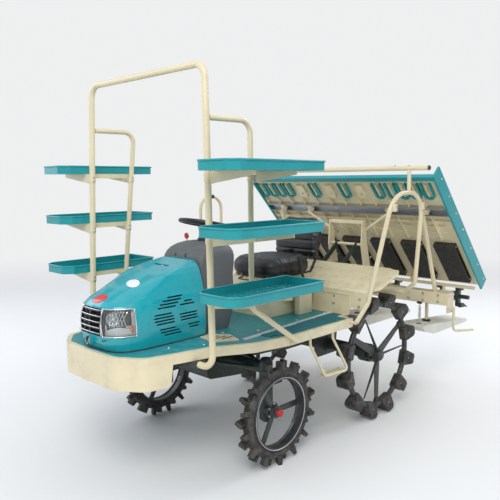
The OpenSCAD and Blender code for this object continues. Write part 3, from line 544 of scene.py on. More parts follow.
@dataclass(frozen=True)
class Metal(Finish):
    """Bare or plated metal with fine scratches."""

    scratch: float = 0.12
    skin: float = 0.0001
    edge_radius: float = 0.0008

    def surface(self, graph: Graph) -> dict[str | int, Value]:
        """Return colour, gloss and normal of the metal."""
        drawn = graph.noise(90.0, 4.0, 0.6, (1.0, 1.0, 6.0))
        stain = graph.noise(25.0, 5.0, 0.7).step(0.5, 0.85)
        body = graph.mix(stain * 0.35, self.colour, tuple(c * 0.6 for c in self.colour))
        rough = self.roughness + (drawn - 0.5) * self.scratch + stain * 0.12
        return {"Base Color": body, "Roughness": rough, "Metallic": 1.0 - stain * 0.2,
                "Normal": graph.bump(drawn, 0.2, self.skin, graph.soft_edge(self.edge_radius))}


@dataclass(frozen=True)
class Lens(Finish):
    """Clear moulded lens: it lets the light straight through and mirrors more towards its edge."""

    index: float = 1.45
    least_gloss: float = 0.04
    gloss_colour: Rgb = (0.7, 0.72, 0.73)
    flute_pitch: float = 260.0

    def surface(self, graph: Graph) -> dict[str | int, Value]:
        """Return roughness and normal of the lens's gloss."""
        across = graph.axis("X") * self.flute_pitch
        flutes = graph.node("ShaderNodeMath", {"operation": "SINE"}, {0: across})[0] * 0.5 + 0.5
        haze = graph.noise(30.0, 4.0)
        return {"Roughness": self.roughness + haze * 0.05, "Normal": graph.bump(flutes, 0.15, 0.0004)}

    def wire(self, graph: Graph) -> None:
        """Mix the clear share and the gloss, and wire them to the material's output."""
        skin = self.surface(graph)
        clear = graph.node("ShaderNodeBsdfTransparent", inputs={"Color": self.colour})
        gloss = graph.node("ShaderNodeBsdfPrincipled", inputs={"Base Color": self.gloss_colour, **skin})
        share = graph.node("ShaderNodeFresnel", inputs={"IOR": self.index})[0] + self.least_gloss
        both = graph.node("ShaderNodeMixShader", inputs={0: share, 1: clear["BSDF"], 2: gloss["BSDF"]})
        graph.node("ShaderNodeOutputMaterial", inputs={"Surface": both["Shader"]})


TEAL: Rgb = (0.007, 0.335, 0.395)
CREAM: Rgb = (0.715, 0.635, 0.425)

PAINT_DARK = Enamel("dark_frame_paint", "frame_paint", (0.035, 0.040, 0.042), 0.42)
CASTING = Cast("green_black_casting", "casting", (0.022, 0.036, 0.030), 0.42)
ENGINE = Cast("engine_grey", "engine", (0.06, 0.065, 0.07), 0.55)
CREAM_PANEL = Moulded("cream_moulding", "cream_panel", CREAM, 0.28, (("Coat Weight", 0.25),), grain=600.0,
                       depth=0.00005, dust=0.03)
CREAM_PAINT = Enamel("cream_enamel", "cream_paint", CREAM, 0.34)
TEAL_FLOOR = Floor("teal_floor", "teal_plastic", (0.012, 0.250, 0.285), 0.44, dust=0.22)
BONNET_TEAL = Moulded("bonnet_teal", "bonnet_plastic", TEAL, 0.20, (("Coat Weight", 0.35),), grain=300.0,
                      depth=0.00002, dust=0.06, edge_radius=0.004)
TRAY_TEAL = Moulded("tray_teal", "tray_plastic", (0.010, 0.285, 0.315), 0.30, depth=0.00004)
COWL_GREY = Moulded("cowl_grey", "grey_plastic", (0.105, 0.115, 0.12), 0.52, depth=0.0002)
BLACK_PLASTIC = Moulded("black_moulding", "black_plastic", (0.012, 0.012, 0.013), 0.40, dust=0.08)
SEAT_VINYL = Vinyl("seat_cover_vinyl", "seat_vinyl", (0.006, 0.006, 0.008), 0.36)
LAMP_LENS = Lens("clear_lens", "lamp_lens", (0.96, 0.97, 0.97), 0.03)
RIM_GREY = Enamel("rim_grey", "rim_metal", (0.055, 0.060, 0.064), 0.38, (("Metallic", 0.4),), grime=0.4)
RING_DARK = Enamel("ring_dark", "ring_metal", (0.030, 0.036, 0.034), 0.40, grime=0.45)
TYRE = Rubber("tyre_rubber", "tyre", (0.012, 0.012, 0.012), 0.55)
BELT = Rubber("ribbed_belt", "belt_rubber", (0.014, 0.014, 0.014), 0.5, dust=0.2)
ROD = Metal("plated_rod", "rod_chrome", (0.75, 0.76, 0.78), 0.12)
FLOAT_PALE = Moulded("float_pale", "float_plastic", (0.70, 0.69, 0.61), 0.42, dust=0.25)
PLATFORM_CREAM = Moulded("platform_cream", "platform_plastic", CREAM, 0.34, grain=500.0, depth=0.00004,
                         dust=0.03)
PLANTER_METAL = Cast("planter_case", "planter_metal", (0.030, 0.040, 0.040), 0.40, (("Metallic", 0.2),),
                     mud=0.1)
ZINC = Metal("zinc_plate", "rod_chrome", (0.62, 0.62, 0.60), 0.32)
STEEL = Metal("bare_steel", "rod_chrome", (0.45, 0.45, 0.46), 0.35)
BADGE_RED = Moulded("plain_red_plate", "bonnet_plastic", (0.62, 0.02, 0.022), 0.30,
                    (("Coat Weight", 0.4),), dust=0.05)
BADGE_WHITE = Moulded("plain_white_plate", "bonnet_plastic", (0.82, 0.83, 0.82), 0.30,
                      (("Coat Weight", 0.3),), dust=0.05)
RED_PLASTIC = Moulded("red_plastic", "grey_plastic", (0.60, 0.018, 0.02), 0.35, (("Coat Weight", 0.2),))
MIRROR = Metal("mirror_reflector", "rod_chrome", (0.86, 0.87, 0.88), 0.06, scratch=0.03)
BRIGHT_TRIM = Metal("bright_trim", "rod_chrome", (0.84, 0.85, 0.86), 0.14, scratch=0.05)
BULB = Moulded("frosted_bulb", "lamp_lens", (0.80, 0.80, 0.78), 0.25, (("Coat Weight", 0.3),), dust=0.0)
AMBER = Moulded("amber_lens", "lamp_lens", (0.80, 0.27, 0.10), 0.18, (("Coat Weight", 0.5),), dust=0.03)
HUB_RED = Enamel("hub_red", "rim_metal", (0.50, 0.018, 0.018), 0.35)
LAMP_WELL = Metal("lamp_well", "rod_chrome", (0.075, 0.078, 0.082), 0.28, scratch=0.04)
LAMP_PALE = Moulded("lamp_pale", "lamp_lens", (0.78, 0.80, 0.78), 0.18, (("Coat Weight", 0.5),), dust=0.0)
CHANNEL_GREY = Metal("channel_grey", "channel_metal", (0.50, 0.52, 0.54), 0.38, scratch=0.1)
STRIP_WHITE = Moulded("white_strip", "cream_panel", (0.72, 0.73, 0.70), 0.40, dust=0.2)
BLACK_PAINT = Enamel("black_paint", "frame_paint", (0.014, 0.015, 0.016), 0.36)
RUBBER_TRIM = Rubber("rubber_trim", "belt_rubber", (0.014, 0.014, 0.015), 0.55, dust=0.12)
BRASS = Metal("yellow_zinc", "rod_chrome", (0.62, 0.50, 0.25), 0.34)

NODE_FINISH: dict[str, Finish] = {node: finish for finish, nodes in (
    (PAINT_DARK, ("chassis_frame", "lift_cylinder")),
    (CASTING, ("front_axle_case", "rear_axle_case", "knuckle_left", "knuckle_right", "lower_links",
               "upper_links")),
    (ENGINE, ("engine_block",)),
    (CREAM_PANEL, ("deck_skirt", "seat_pedestal", "rear_cover")),
    (TEAL_FLOOR, ("deck",)),
    (COWL_GREY, ("dash_cowl",)),
    (SEAT_VINYL, ("seat_cushion", "seat_backrest")),
    (CREAM_PAINT, ("side_steps", "gantry", "rack_frame_left", "rack_frame_right", "handrail_left",
                   "grab_hoop_right", "planting_frame")),
    (TRAY_TEAL, ("trays_left", "trays_right", "platform_sides", "platform_fingers")),
    (BLACK_PLASTIC, ("lever", "grille", "steering_wheel")),
    (BONNET_TEAL, ("bonnet",)),
    (LAMP_LENS, ("headlamps",)),
    (RIM_GREY, ("front_rim_left", "front_rim_right")),
    (TYRE, ("front_tyre_left", "front_tyre_right", "rear_lugs_left", "rear_lugs_right")),
    (RING_DARK, ("rear_rim_left", "rear_rim_right")),
    (ROD, ("lift_rod",)),
    (FLOAT_PALE, ("floats",)),
    (PLATFORM_CREAM, ("seedling_platform",)),
    (CHANNEL_GREY, ("platform_channel",)),
    (BELT, ("feed_belts",)),
    (PLANTER_METAL, ("planter_left", "planter_centre", "planter_right")),
) for node in nodes}


BOX_FACES = ((0, 1, 3, 2), (4, 6, 7, 5), (0, 4, 5, 1), (2, 3, 7, 6), (0, 2, 6, 4), (1, 5, 7, 3))


def walls(rings: int, sides: int, closed: bool = False) -> list[tuple[int, ...]]:
    """Give the faces between rings of points that follow one another.

    Args:
        rings: How many rings there are.
        sides: Points of each ring.
        closed: Whether the last ring joins the first.

    Returns:
        The faces, as numbers of points.
    """
    return [(i * sides + k, i * sides + (k + 1) % sides, (i + 1) % rings * sides + (k + 1) % sides,
             (i + 1) % rings * sides + k) for i in range(rings if closed else rings - 1)
            for k in range(sides)]


def caps(rings: int, sides: int) -> list[tuple[int, ...]]:
    """Give the two faces that close the first and the last ring."""
    return [tuple(range(sides - 1, -1, -1)), tuple((rings - 1) * sides + k for k in range(sides))]


def squared(angle: float, power: float) -> tuple[float, float]:
    """Give a point of a unit circle that is drawn out towards a square.

    Args:
        angle: The point's angle in radians.
        power: 1 for a circle, and less the squarer the outline is.

    Returns:
        The point's two coordinates.
    """
    c, s = math.cos(angle), math.sin(angle)
    return math.copysign(abs(c) ** power, c), math.copysign(abs(s) ** power, s)


@dataclass
class Shape:
    """A mesh under construction, in the part's frame, drawn in station millimetres."""

    name: str
    body: str
    finish: Finish
    points: list[Vector] = field(default_factory=list)
    faces: list[tuple[int, ...]] = field(default_factory=list)

    def add(self, points: Iterable[Vector], faces: Iterable[Sequence[int]]) -> None:
        """Add points in millimetres and the faces between them."""
        base = len(self.points)
        self.points.extend(points)
        self.faces.extend(tuple(base + i for i in f) for f in faces)

    def box(self, low: Point, high: Point) -> None:
        """Add a box between its lowest and its highest corner."""
        self.add([Vector((x, y, z)) for x in (low[0], high[0]) for y in (low[1], high[1])
                  for z in (low[2], high[2])], BOX_FACES)

    def tube(self, path: Sequence[Point], radius: float | Sequence[float], sides: int = 16,
             closed: bool = False) -> None:
        """Sweep a round section along a path.

        Args:
            path: Points of the centre line.
            radius: One radius, or one at each point.
            sides: Corners of the section.
            closed: Whether the path runs back to its start; an open one gets caps.
        """
        line = [Vector(p) for p in path]
        count = len(line)
        radii = [radius] * count if isinstance(radius, (int, float)) else list(radius)
        rings: list[Vector] = []
        side: Vector | None = None
        for i, point in enumerate(line):
            ahead = line[(i + 1) % count] if closed or i < count - 1 else point
            behind = line[i - 1] if closed or i > 0 else point
            along = (ahead - behind).normalized()
            if side is None:
                seed = Vector((0, 0, 1)) if abs(along.z) < 0.9 else Vector((1, 0, 0))
                side = along.cross(seed).normalized()
            side = (side - along * side.dot(along)).normalized()
            other = along.cross(side)
            for k in range(sides):
                angle = 2 * math.pi * k / sides
                rings.append(point + (side * math.cos(angle) + other * math.sin(angle)) * radii[i])
        self.add(rings, walls(count, sides, closed) + ([] if closed else caps(count, sides)))

    def turned(self, profile: Sequence[tuple[float, float]], centre: Point, axis: Point,
               sides: int = 32) -> None:
        """Turn a closed profile round an axis.

        Args:
            profile: Pairs of radius and way along the axis.
            centre: Where the axis starts.
            axis: Direction of the axis.
            sides: Corners round the form.
        """
        along = Vector(axis).normalized()
        seed = Vector((0, 0, 1)) if abs(along.z) < 0.9 else Vector((1, 0, 0))
        side = along.cross(seed).normalized()
        other = along.cross(side)
        start = Vector(centre)
        points: list[Vector] = []
        for radius, way in profile:
            for k in range(sides):
                angle = 2 * math.pi * k / sides
                points.append(start + along * way + (side * math.cos(angle) + other * math.sin(angle))
                              * max(radius, 0.01))
        self.add(points, walls(len(profile), sides, closed=True))

    def plate(self, outline: Sequence[tuple[float, float]], frame: Matrix, thick: float) -> None:
        """Extrude an outline into a plate.

        Args:
            outline: Corners in the plate's own plane, going round once.
            frame: Where that plane lies, as a matrix in station millimetres.
            thick: Thickness along the plane's normal.
        """
        count = len(outline)
        low = [frame @ Vector((x, y, 0.0)) for x, y in outline]
        high = [frame @ Vector((x, y, thick)) for x, y in outline]
        faces: list[tuple[int, ...]] = [tuple(range(count - 1, -1, -1)), tuple(range(count, 2 * count))]
        faces += [(i, (i + 1) % count, count + (i + 1) % count, count + i) for i in range(count)]
        self.add(low + high, faces)

    def bolt(self, centre: Point, axis: Point, across: float = 13.0, washer: bool = True) -> None:
        """Add a hexagon bolt head with its washer.

        Args:
            centre: Where the head meets its seat.
            axis: The way the head looks.
            across: Width across the flats.
            washer: Whether a washer lies under it.
        """
        radius = across / math.sqrt(3.0)
        if washer:
            flange = across * 0.85
            self.turned([(0, -0.5), (flange, -0.5), (flange, 1.2), (0, 1.2)], centre, axis, 18)
        self.turned([(0, 1.0), (radius, 1.0), (radius, across * 0.52), (radius * 0.86, across * 0.6),
                     (0, across * 0.6)],
                    centre, axis, 6)

    def mirrored(self) -> None:
        """Add the mirror image of all that is drawn so far."""
        points = [Vector((-p.x, p.y, p.z)) for p in self.points]
        self.add(points, [tuple(reversed(f)) for f in list(self.faces)])

    def build(self, bevel: float = 0.0, smooth: float = 35.0) -> bpy.types.Object:
        """Make the object, finish it and let it ride on its body.

        Args:
            bevel: Width of the bevel in millimetres, or 0.
            smooth: Angle in degrees under which faces shade smoothly.

        Returns:
            The new object.
        """
        mesh = bpy.data.meshes.new(self.name)
        mesh.from_pydata([at(*p) for p in self.points], [], self.faces)
        work = bmesh.new()
        work.from_mesh(mesh)
        bmesh.ops.remove_doubles(work, verts=work.verts, dist=1e-6)
        bmesh.ops.dissolve_degenerate(work, edges=work.edges, dist=1e-6)
        bmesh.ops.recalc_face_normals(work, faces=work.faces)
        work.to_mesh(mesh)
        work.free()
        made = bpy.data.objects.new(self.name, mesh)
        bpy.context.scene.collection.objects.link(made)
        if bevel > 0:
            cut = made.modifiers.new("bevel", "BEVEL")
            cut.width = bevel / 1000.0
            cut.segments = 2
            cut.limit_method = "ANGLE"
            cut.angle_limit = math.radians(40.0)
            apply_modifiers(made)
        smooth_faces(made, smooth)
        return dress(made, self.body, self.finish)


def apply_modifiers(made: bpy.types.Object) -> None:
    """Turn an object's modifiers into its mesh."""
    view = bpy.context.evaluated_depsgraph_get()
    view.update()
    mesh = bpy.data.meshes.new_from_object(made.evaluated_get(view))
    made.modifiers.clear()
    made.data = mesh


def smooth_faces(made: bpy.types.Object, angle: float) -> None:
    """Shade faces smoothly where they meet under an angle in degrees."""
    mesh = made.data
    mesh.polygons.foreach_set("use_smooth", [True] * len(mesh.polygons))
    mesh.set_sharp_from_angle(angle=math.radians(angle))


def dress(made: bpy.types.Object, body: str, finish: Finish) -> bpy.types.Object:
    """Give an object its finish and the body it rides on.

    Args:
        made: The object.
        body: Name of the CAD body.
        finish: The finish it wears.

    Returns:
        The same object.
    """
    made.data.materials.clear()
    made.data.materials.append(finish.material())
    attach(made, body)
    LOG.info("%s: %d faces on %s", made.name, len(made.data.polygons), body)
    return made


@dataclass
class Frame:
    """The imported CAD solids, which keep their shape and get their finishes."""

    nodes: dict[str, bpy.types.Object]

    def build(self) -> None:
        """Give each CAD node its material."""
        for name, node in self.nodes.items():
            finish = NODE_FINISH[name]
            for slot in node.material_slots:
                slot.material = finish.material()
            LOG.info("%s wears %s", name, finish.name)


@dataclass
class Studio:
    """Pale floor, soft lamps and the camera at the photograph's place."""

    eye: Point = (2.993, -3.392, 1.753)
    azimuth: float = 44.5
    pitch: float = 6.6
    roll: float = -0.4
    focus_px: float = 600.0
    picture_px: float = 500.0
    sensor_mm: float = 36.0
    backdrop: Rgb = (0.86, 0.865, 0.87)
    floor_half: float = 60.0
    floor_fade: tuple[float, float] = (3.5, 11.0)
    floor_tones: tuple[Rgb, Rgb] = ((0.80, 0.80, 0.795), (0.74, 0.74, 0.735))
    sky_tones: tuple[Rgb, Rgb] = ((0.34, 0.35, 0.37), (0.80, 0.84, 0.90))

    def floor(self) -> None:
        """Lay a wide floor that fades into the background."""
        work = bmesh.new()
        bmesh.ops.create_grid(work, x_segments=2, y_segments=2, size=self.floor_half)
        mesh = bpy.data.meshes.new("floor")
        work.to_mesh(mesh)
        work.free()
        floor = bpy.data.objects.new("floor", mesh)
        bpy.context.scene.collection.objects.link(floor)
        material, graph = shade("pale_floor")
        place = graph.place()
        away = graph.node("ShaderNodeVectorMath", {"operation": "LENGTH"}, {0: place})["Value"]
        speckle = graph.noise(3.0, 5.0, 0.6)
        colour = graph.mix(speckle * 0.35, *self.floor_tones)
        near = graph.node("ShaderNodeBsdfPrincipled", inputs={"Base Color": colour, "Roughness": 0.75,
                                                              "Specular IOR Level": 0.2})
        far = graph.node("ShaderNodeEmission", inputs={"Color": self.backdrop, "Strength": 1.0})
        share = away.step(*self.floor_fade)
        both = graph.node("ShaderNodeMixShader", inputs={0: share, 1: near["BSDF"], 2: far["Emission"]})
        graph.node("ShaderNodeOutputMaterial", inputs={"Surface": both["Shader"]})
        mesh.materials.append(material)

    def sky(self) -> None:
        """Light the world evenly and show the backdrop to the camera."""
        world = bpy.data.worlds.new("studio")
        world.use_nodes = True
        bpy.context.scene.world = world
        graph = Graph(world.node_tree)
        path = graph.node("ShaderNodeLightPath")
        seen = path["Is Camera Ray"].at_least(path["Is Transmission Ray"])
        way = graph.node("ShaderNodeTexCoord")["Generated"]
        up = graph.node("ShaderNodeSeparateXYZ", inputs={0: way})["Z"].step(-0.15, 0.9)
        dome = graph.mix(up, *self.sky_tones)
        colour = graph.mix(seen, dome, self.backdrop)
        light = graph.node("ShaderNodeBackground", inputs={"Color": colour, "Strength": 1.0})
        graph.node("ShaderNodeOutputWorld", inputs={"Surface": light["Background"]})

    @staticmethod
    def lamp(name: str, place: Point, aim: Point, size: float, power: float,
             colour: Rgb = (1.0, 1.0, 1.0)) -> None:
        """Hang one square lamp.

        Args:
            name: The lamp's name.
            place: Where it hangs.
            aim: What it looks at.
            size: Its side in metres.
            power: Its power in watts.
            colour: Its colour.
        """
        data = bpy.data.lights.new(name, "AREA")
        data.shape = "SQUARE"
        data.size = size
        data.energy = power
        data.color = colour
        made = bpy.data.objects.new(name, data)
        bpy.context.scene.collection.objects.link(made)
        made.location = place
        made.rotation_euler = (Vector(aim) - Vector(place)).to_track_quat("-Z", "Y").to_euler()

    def camera(self) -> None:
        """Set the camera where the photograph was taken from."""
        data = bpy.data.cameras.new("camera")
        data.sensor_width = self.sensor_mm
        data.sensor_fit = "HORIZONTAL"
        data.lens = self.sensor_mm * self.focus_px / self.picture_px
        data.clip_end = 200.0
        made = bpy.data.objects.new("camera", data)
        bpy.context.scene.collection.objects.link(made)
        turn, dip, lean = (math.radians(a) for a in (self.azimuth, self.pitch, self.roll))
        made.matrix_world = (Matrix.Translation(self.eye) @ Matrix.Rotation(turn, 4, "Z")
                             @ Matrix.Rotation(math.pi / 2 - dip, 4, "X") @ Matrix.Rotation(lean, 4, "Z"))
        bpy.context.scene.camera = made

    def build(self) -> None:
        """Set up the whole studio."""
        self.camera()
        self.floor()
        self.sky()
        self.lamp("key", (3.4, -4.6, 5.2), (0.0, -0.2, 0.8), 3.2, 235.0, (1.0, 0.985, 0.96))
        self.lamp("fill", (-5.2, -2.6, 3.4), (0.0, 0.0, 0.9), 4.0, 95.0, (0.93, 0.96, 1.0))
        self.lamp("rim", (1.5, 5.0, 4.6), (0.0, 0.4, 1.0), 3.4, 150.0)
        view = bpy.context.scene.view_settings
        view.view_transform = "Standard"


@dataclass
class SeatPad:
    """A cushion of black vinyl, inflated by cloth simulation before its channels are pressed in."""

    name: str
    node: str
    rings: tuple[tuple[float, float, float, float, float], ...]
    channels: tuple[float, ...]
    channel_axis: int
    cap: float = 14.0
    voxel: float = 0.008
    fill: float = 0.85
    squareness: float = 4.2
    pressure: float = 4.0
    steps: int = 20
    channel_half_w: float = 7.0
    channel_depth: float = 7.5

    def cage(self) -> bpy.types.Object:
        """Loft the pad from its rings, which are rounded squares.

        Returns:
            The unfinished pad.
        """
        sides = 40
        points: list[Vector] = []
        for z, y, half_x, half_y, tight in self.rings:
            for k in range(sides):
                across, along = squared(2 * math.pi * k / sides, 2.0 / self.squareness)
                points.append(at(half_x * across * (1.0 - tight), y + half_y * along * (1.0 - tight), z))
        mesh = bpy.data.meshes.new(self.name)
        mesh.from_pydata(points, [], caps(len(self.rings), sides) + walls(len(self.rings), sides))
        made = bpy.data.objects.new(self.name, mesh)
        bpy.context.scene.collection.objects.link(made)
        return made

    def inflate(self, made: bpy.types.Object) -> None:
        """Swell the pad with the cloth simulation, and cap how far a point moves.

        Args:
            made: The remeshed pad.
        """
        start = [v.co.copy() for v in made.data.vertices]
        cloth = made.modifiers.new("swell", "CLOTH")
        cloth.settings.use_pressure = True
        cloth.settings.uniform_pressure_force = self.pressure
        cloth.settings.effector_weights.gravity = 0.0
        cloth.settings.quality = 4
        scene = bpy.context.scene
        for step in range(1, self.steps + 1):
            scene.frame_set(step)
        apply_modifiers(made)
        scene.frame_set(1)
        for vertex, rest in zip(made.data.vertices, start):
            move = vertex.co - rest
            if move.length > self.cap / 1000.0:
                vertex.co = rest + move.normalized() * self.cap / 1000.0

    def sew(self, made: bpy.types.Object) -> None:
        """Press the sewn channels into the pad.

        Args:
            made: The swollen pad.
        """
        made.data.update()
        normals = [v.normal.copy() for v in made.data.vertices]
        for vertex, normal in zip(made.data.vertices, normals):
            way = vertex.co[self.channel_axis] * 1000.0 + (MID_STATION if self.channel_axis == 1 else 0.0)
            depth = sum(math.exp(-((way - c) / self.channel_half_w) ** 2) for c in self.channels)
            vertex.co -= normal * (self.channel_depth / 1000.0) * min(depth, 1.0)

    def build(self) -> None:
        """Make the pad, inflate it, press its channels and let it stand for its node."""
        made = self.cage()
        remesh = made.modifiers.new("even", "REMESH")
        remesh.mode = "VOXEL"
        remesh.voxel_size = self.voxel
        apply_modifiers(made)
        self.inflate(made)
        self.sew(made)
        soft = made.modifiers.new("soften", "SUBSURF")
        soft.levels = soft.render_levels = 1
        apply_modifiers(made)
        smooth_faces(made, 180.0)
        dress(made, "chassis", SEAT_VINYL)
        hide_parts(self.node)


# Height, middle station, half width, half depth and draw-in of each ring
CUSHION_RINGS = (
    (1077.5, 600, 226, 226, 0.06), (1086, 600, 238, 238, 0.02), (1110, 600, 243, 240, 0.0),
    (1150, 600, 243, 240, 0.0), (1176, 602, 236, 234, 0.02), (1190, 604, 212, 214, 0.05),
    (1194, 606, 160, 168, 0.08))
BACKREST_RINGS = (
    (1160, 893, 190, 26, 0.10), (1175, 895, 212, 32, 0.03), (1210, 898, 222, 36, 0.0),
    (1280, 910, 226, 38, 0.0), (1340, 925, 226, 38, 0.0), (1400, 938, 208, 34, 0.0),
    (1450, 947, 180, 27, 0.04), (1476, 951, 150, 18, 0.14))


@dataclass
class BonnetSkin:
    """The bonnet's outer surface, from the same rows as the part's source."""

    half_w: float = 250.0
    nose: float = -560.0
    brow_z: float = 1090.0
    brow_bend: float = 20.0
    cheek_bend: float = 60.0
    crown_low: float = 1030.0
    rows: tuple[tuple[float, float, float, float], ...] = (
        (802.3, -893, 0.97, 3.6), (850, -915, 0.99, 3.4), (900, -928, 1.0, 3.2), (960, -932, 1.0, 3.0),
        (1020, -922, 0.985, 2.8), (1056, -905, 0.965, 2.6), (1078, -875, 0.945, 2.5),
        (1100, -822, 0.92, 2.4), (1130, -748, 0.89, 2.4), (1165, -655, 0.85, 2.4),
        (1200, -550, 0.80, 2.4), (1230, -440, 0.74, 2.4), (1252, -350, 0.66, 2.4),
        (1266, -300, 0.56, 2.6))

    def row(self, z: float) -> tuple[float, float, float, float]:
        """Interpolate the rows at a height."""
        for low, high in zip(self.rows, self.rows[1:]):
            if z <= high[0]:
                t = max(0.0, (z - low[0]) / (high[0] - low[0]))
                return tuple(a + (b - a) * t for a, b in zip(low, high))
        return self.rows[-1]

    def section(self, z: float, proud: float) -> tuple[float, float, float, float]:
        """Give the skin's level section at a height.

        Args:
            z: Height in millimetres.
            proud: How far outside the skin.

        Returns:
            Its half width, the stations of its front and of where its flanks begin, and its power.
        """
        height, front, share, square = self.row(z)
        front -= proud
        bend = self.brow_bend if height > self.brow_z else self.cheek_bend
        return share * self.half_w + proud, front, max(front + bend, self.nose), 2.0 / square

    def at_turn(self, z: float, turn: float, proud: float = 0.0) -> Point:
        """Give the skin's point at a height and a turn from the nose.

        Args:
            z: Height in millimetres.
            turn: Angle in degrees, 0 at the nose, 90 on the left flank.
            proud: How far outside the skin.

        Returns:
            The point in station millimetres.
        """
        w, front, start, power = self.section(z, proud)
        s, c = math.sin(math.radians(turn)), math.cos(math.radians(turn))
        return (w * math.copysign(abs(s) ** power, s), start - (start - front) * abs(c) ** power, z)

    def front_at(self, x: float, z: float, proud: float = 0.0) -> Point:
        """Give the skin's point on the nose at a distance from the middle."""
        w, front, start, power = self.section(z, proud)
        c = math.sqrt(max(0.0, 1.0 - min(1.0, abs(x) / w) ** self.row(z)[3]))
        return (x, start - (start - front) * c ** power, z)

    def top_at(self, x: float, y: float, proud: float = 0.0) -> Point:
        """Give the skin's point on the top surface over a place."""
        low, high = self.crown_low, self.rows[-1][0]
        for _ in range(40):
            z = (low + high) / 2
            if self.front_at(x, z)[1] < y:
                low = z
            else:
                high = z
        return (x, y, low + proud)


@dataclass
class BonnetTrim:
    """Foot gasket, plain plates and chin latch of the bonnet, and painted shade of its chin recesses."""

    skin: BonnetSkin = field(default_factory=BonnetSkin)
    gasket_r: float = 3.2
    plate_thick: float = 2.2

    def gasket(self) -> None:
        """Lay the rubber edging round the bonnet's foot."""
        shape = Shape("bonnet_gasket", "bonnet", BELT)
        turns = [-90.0 + 180.0 * k / 48 for k in range(49)]
        bend = [self.skin.at_turn(807.0, t, 0.6) for t in turns]
        path = [(-242.0, -270.0, 807.0)] + bend + [(242.0, -270.0, 807.0)]
        shape.tube(path, self.gasket_r, 8)
        shape.build(smooth=60)

    def patch(self, name: str, finish: Finish, centre: tuple[float, float], half: tuple[float, float],
              turn: float, power: float) -> None:
        """Lay a plain plate with a rounded outline on the bonnet's top.

        Args:
            name: The piece's name.
            finish: Its finish.
            centre: Its middle in plan.
            half: Its half sizes in plan.
            turn: Its turn in plan, in degrees.
            power: Squareness of its outline.
        """
        shape = Shape(name, "bonnet", finish)
        rings = ((1.0, 0.0), (1.0, 0.7), (0.93, 1.0), (0.6, 1.05), (0.25, 1.08))
        sides = 36
        c0, s0 = math.cos(math.radians(turn)), math.sin(math.radians(turn))
        points: list[Vector] = []
        for share, rise in rings:
            for k in range(sides):
                across, along = squared(2 * math.pi * k / sides, 2 / power)
                a, b = half[0] * share * across, half[1] * share * along
                x, y = centre[0] + a * c0 - b * s0, centre[1] + a * s0 + b * c0
                points.append(Vector(self.skin.top_at(x, y, -1.0 + (self.plate_thick + 1.0) * rise)))
        shape.add(points, walls(len(rings), sides) + caps(len(rings), sides)[1:])
        shape.build(smooth=50)

    def latch(self) -> None:
        """Build the rubber latch on the chin with its plated hook."""
        strap = Shape("bonnet_latch_strap", "bonnet", BELT)
        strap.tube([(0, -941, 884), (0, -946, 872), (0, -944, 850), (0, -938, 836)], [7, 8, 8, 6], 12)
        strap.build(bevel=0.8)
        hook = Shape("bonnet_latch_hook", "bonnet", ZINC)
        hook.tube([(-13, -936, 876), (-13, -946, 862), (-12, -947, 846), (0, -947, 838), (12, -947, 846),
                   (13, -946, 862), (13, -936, 876)], 2.6, 10)
        hook.turned([(0, 0), (15, 0), (15, 3), (13, 4.5), (0, 4.5)], (0, -936, 858), (0, -1, 0), 28)
        hook.build(smooth=50)

    def paint_chin_shade(self) -> None:
        """Lay a thin black tube on the chin beside the latch, on both sides, as painted shade of a short
        recess.
        """
        # a black line on the skin stands in for the shade of a recess
        shape = Shape("chin_recess", "bonnet", BLACK_PLASTIC)
        shape.tube([self.skin.at_turn(866.0 + 1.4 * k, 13.0 + 1.6 * k, 0.2) for k in range(7)], 2.6, 6)
        shape.mirrored()
        shape.build(smooth=60)

    def build(self) -> None:
        """Build all trim of the bonnet."""
        self.gasket()
        self.patch("nose_plate_red", BADGE_RED, (0.0, -852.0), (50.0, 36.0), 0.0, 3.0)
        self.patch("top_plate_white", BADGE_WHITE, (62.0, -668.0), (62.0, 34.0), -14.0, 2.0)
        self.latch()
        self.paint_chin_shade()


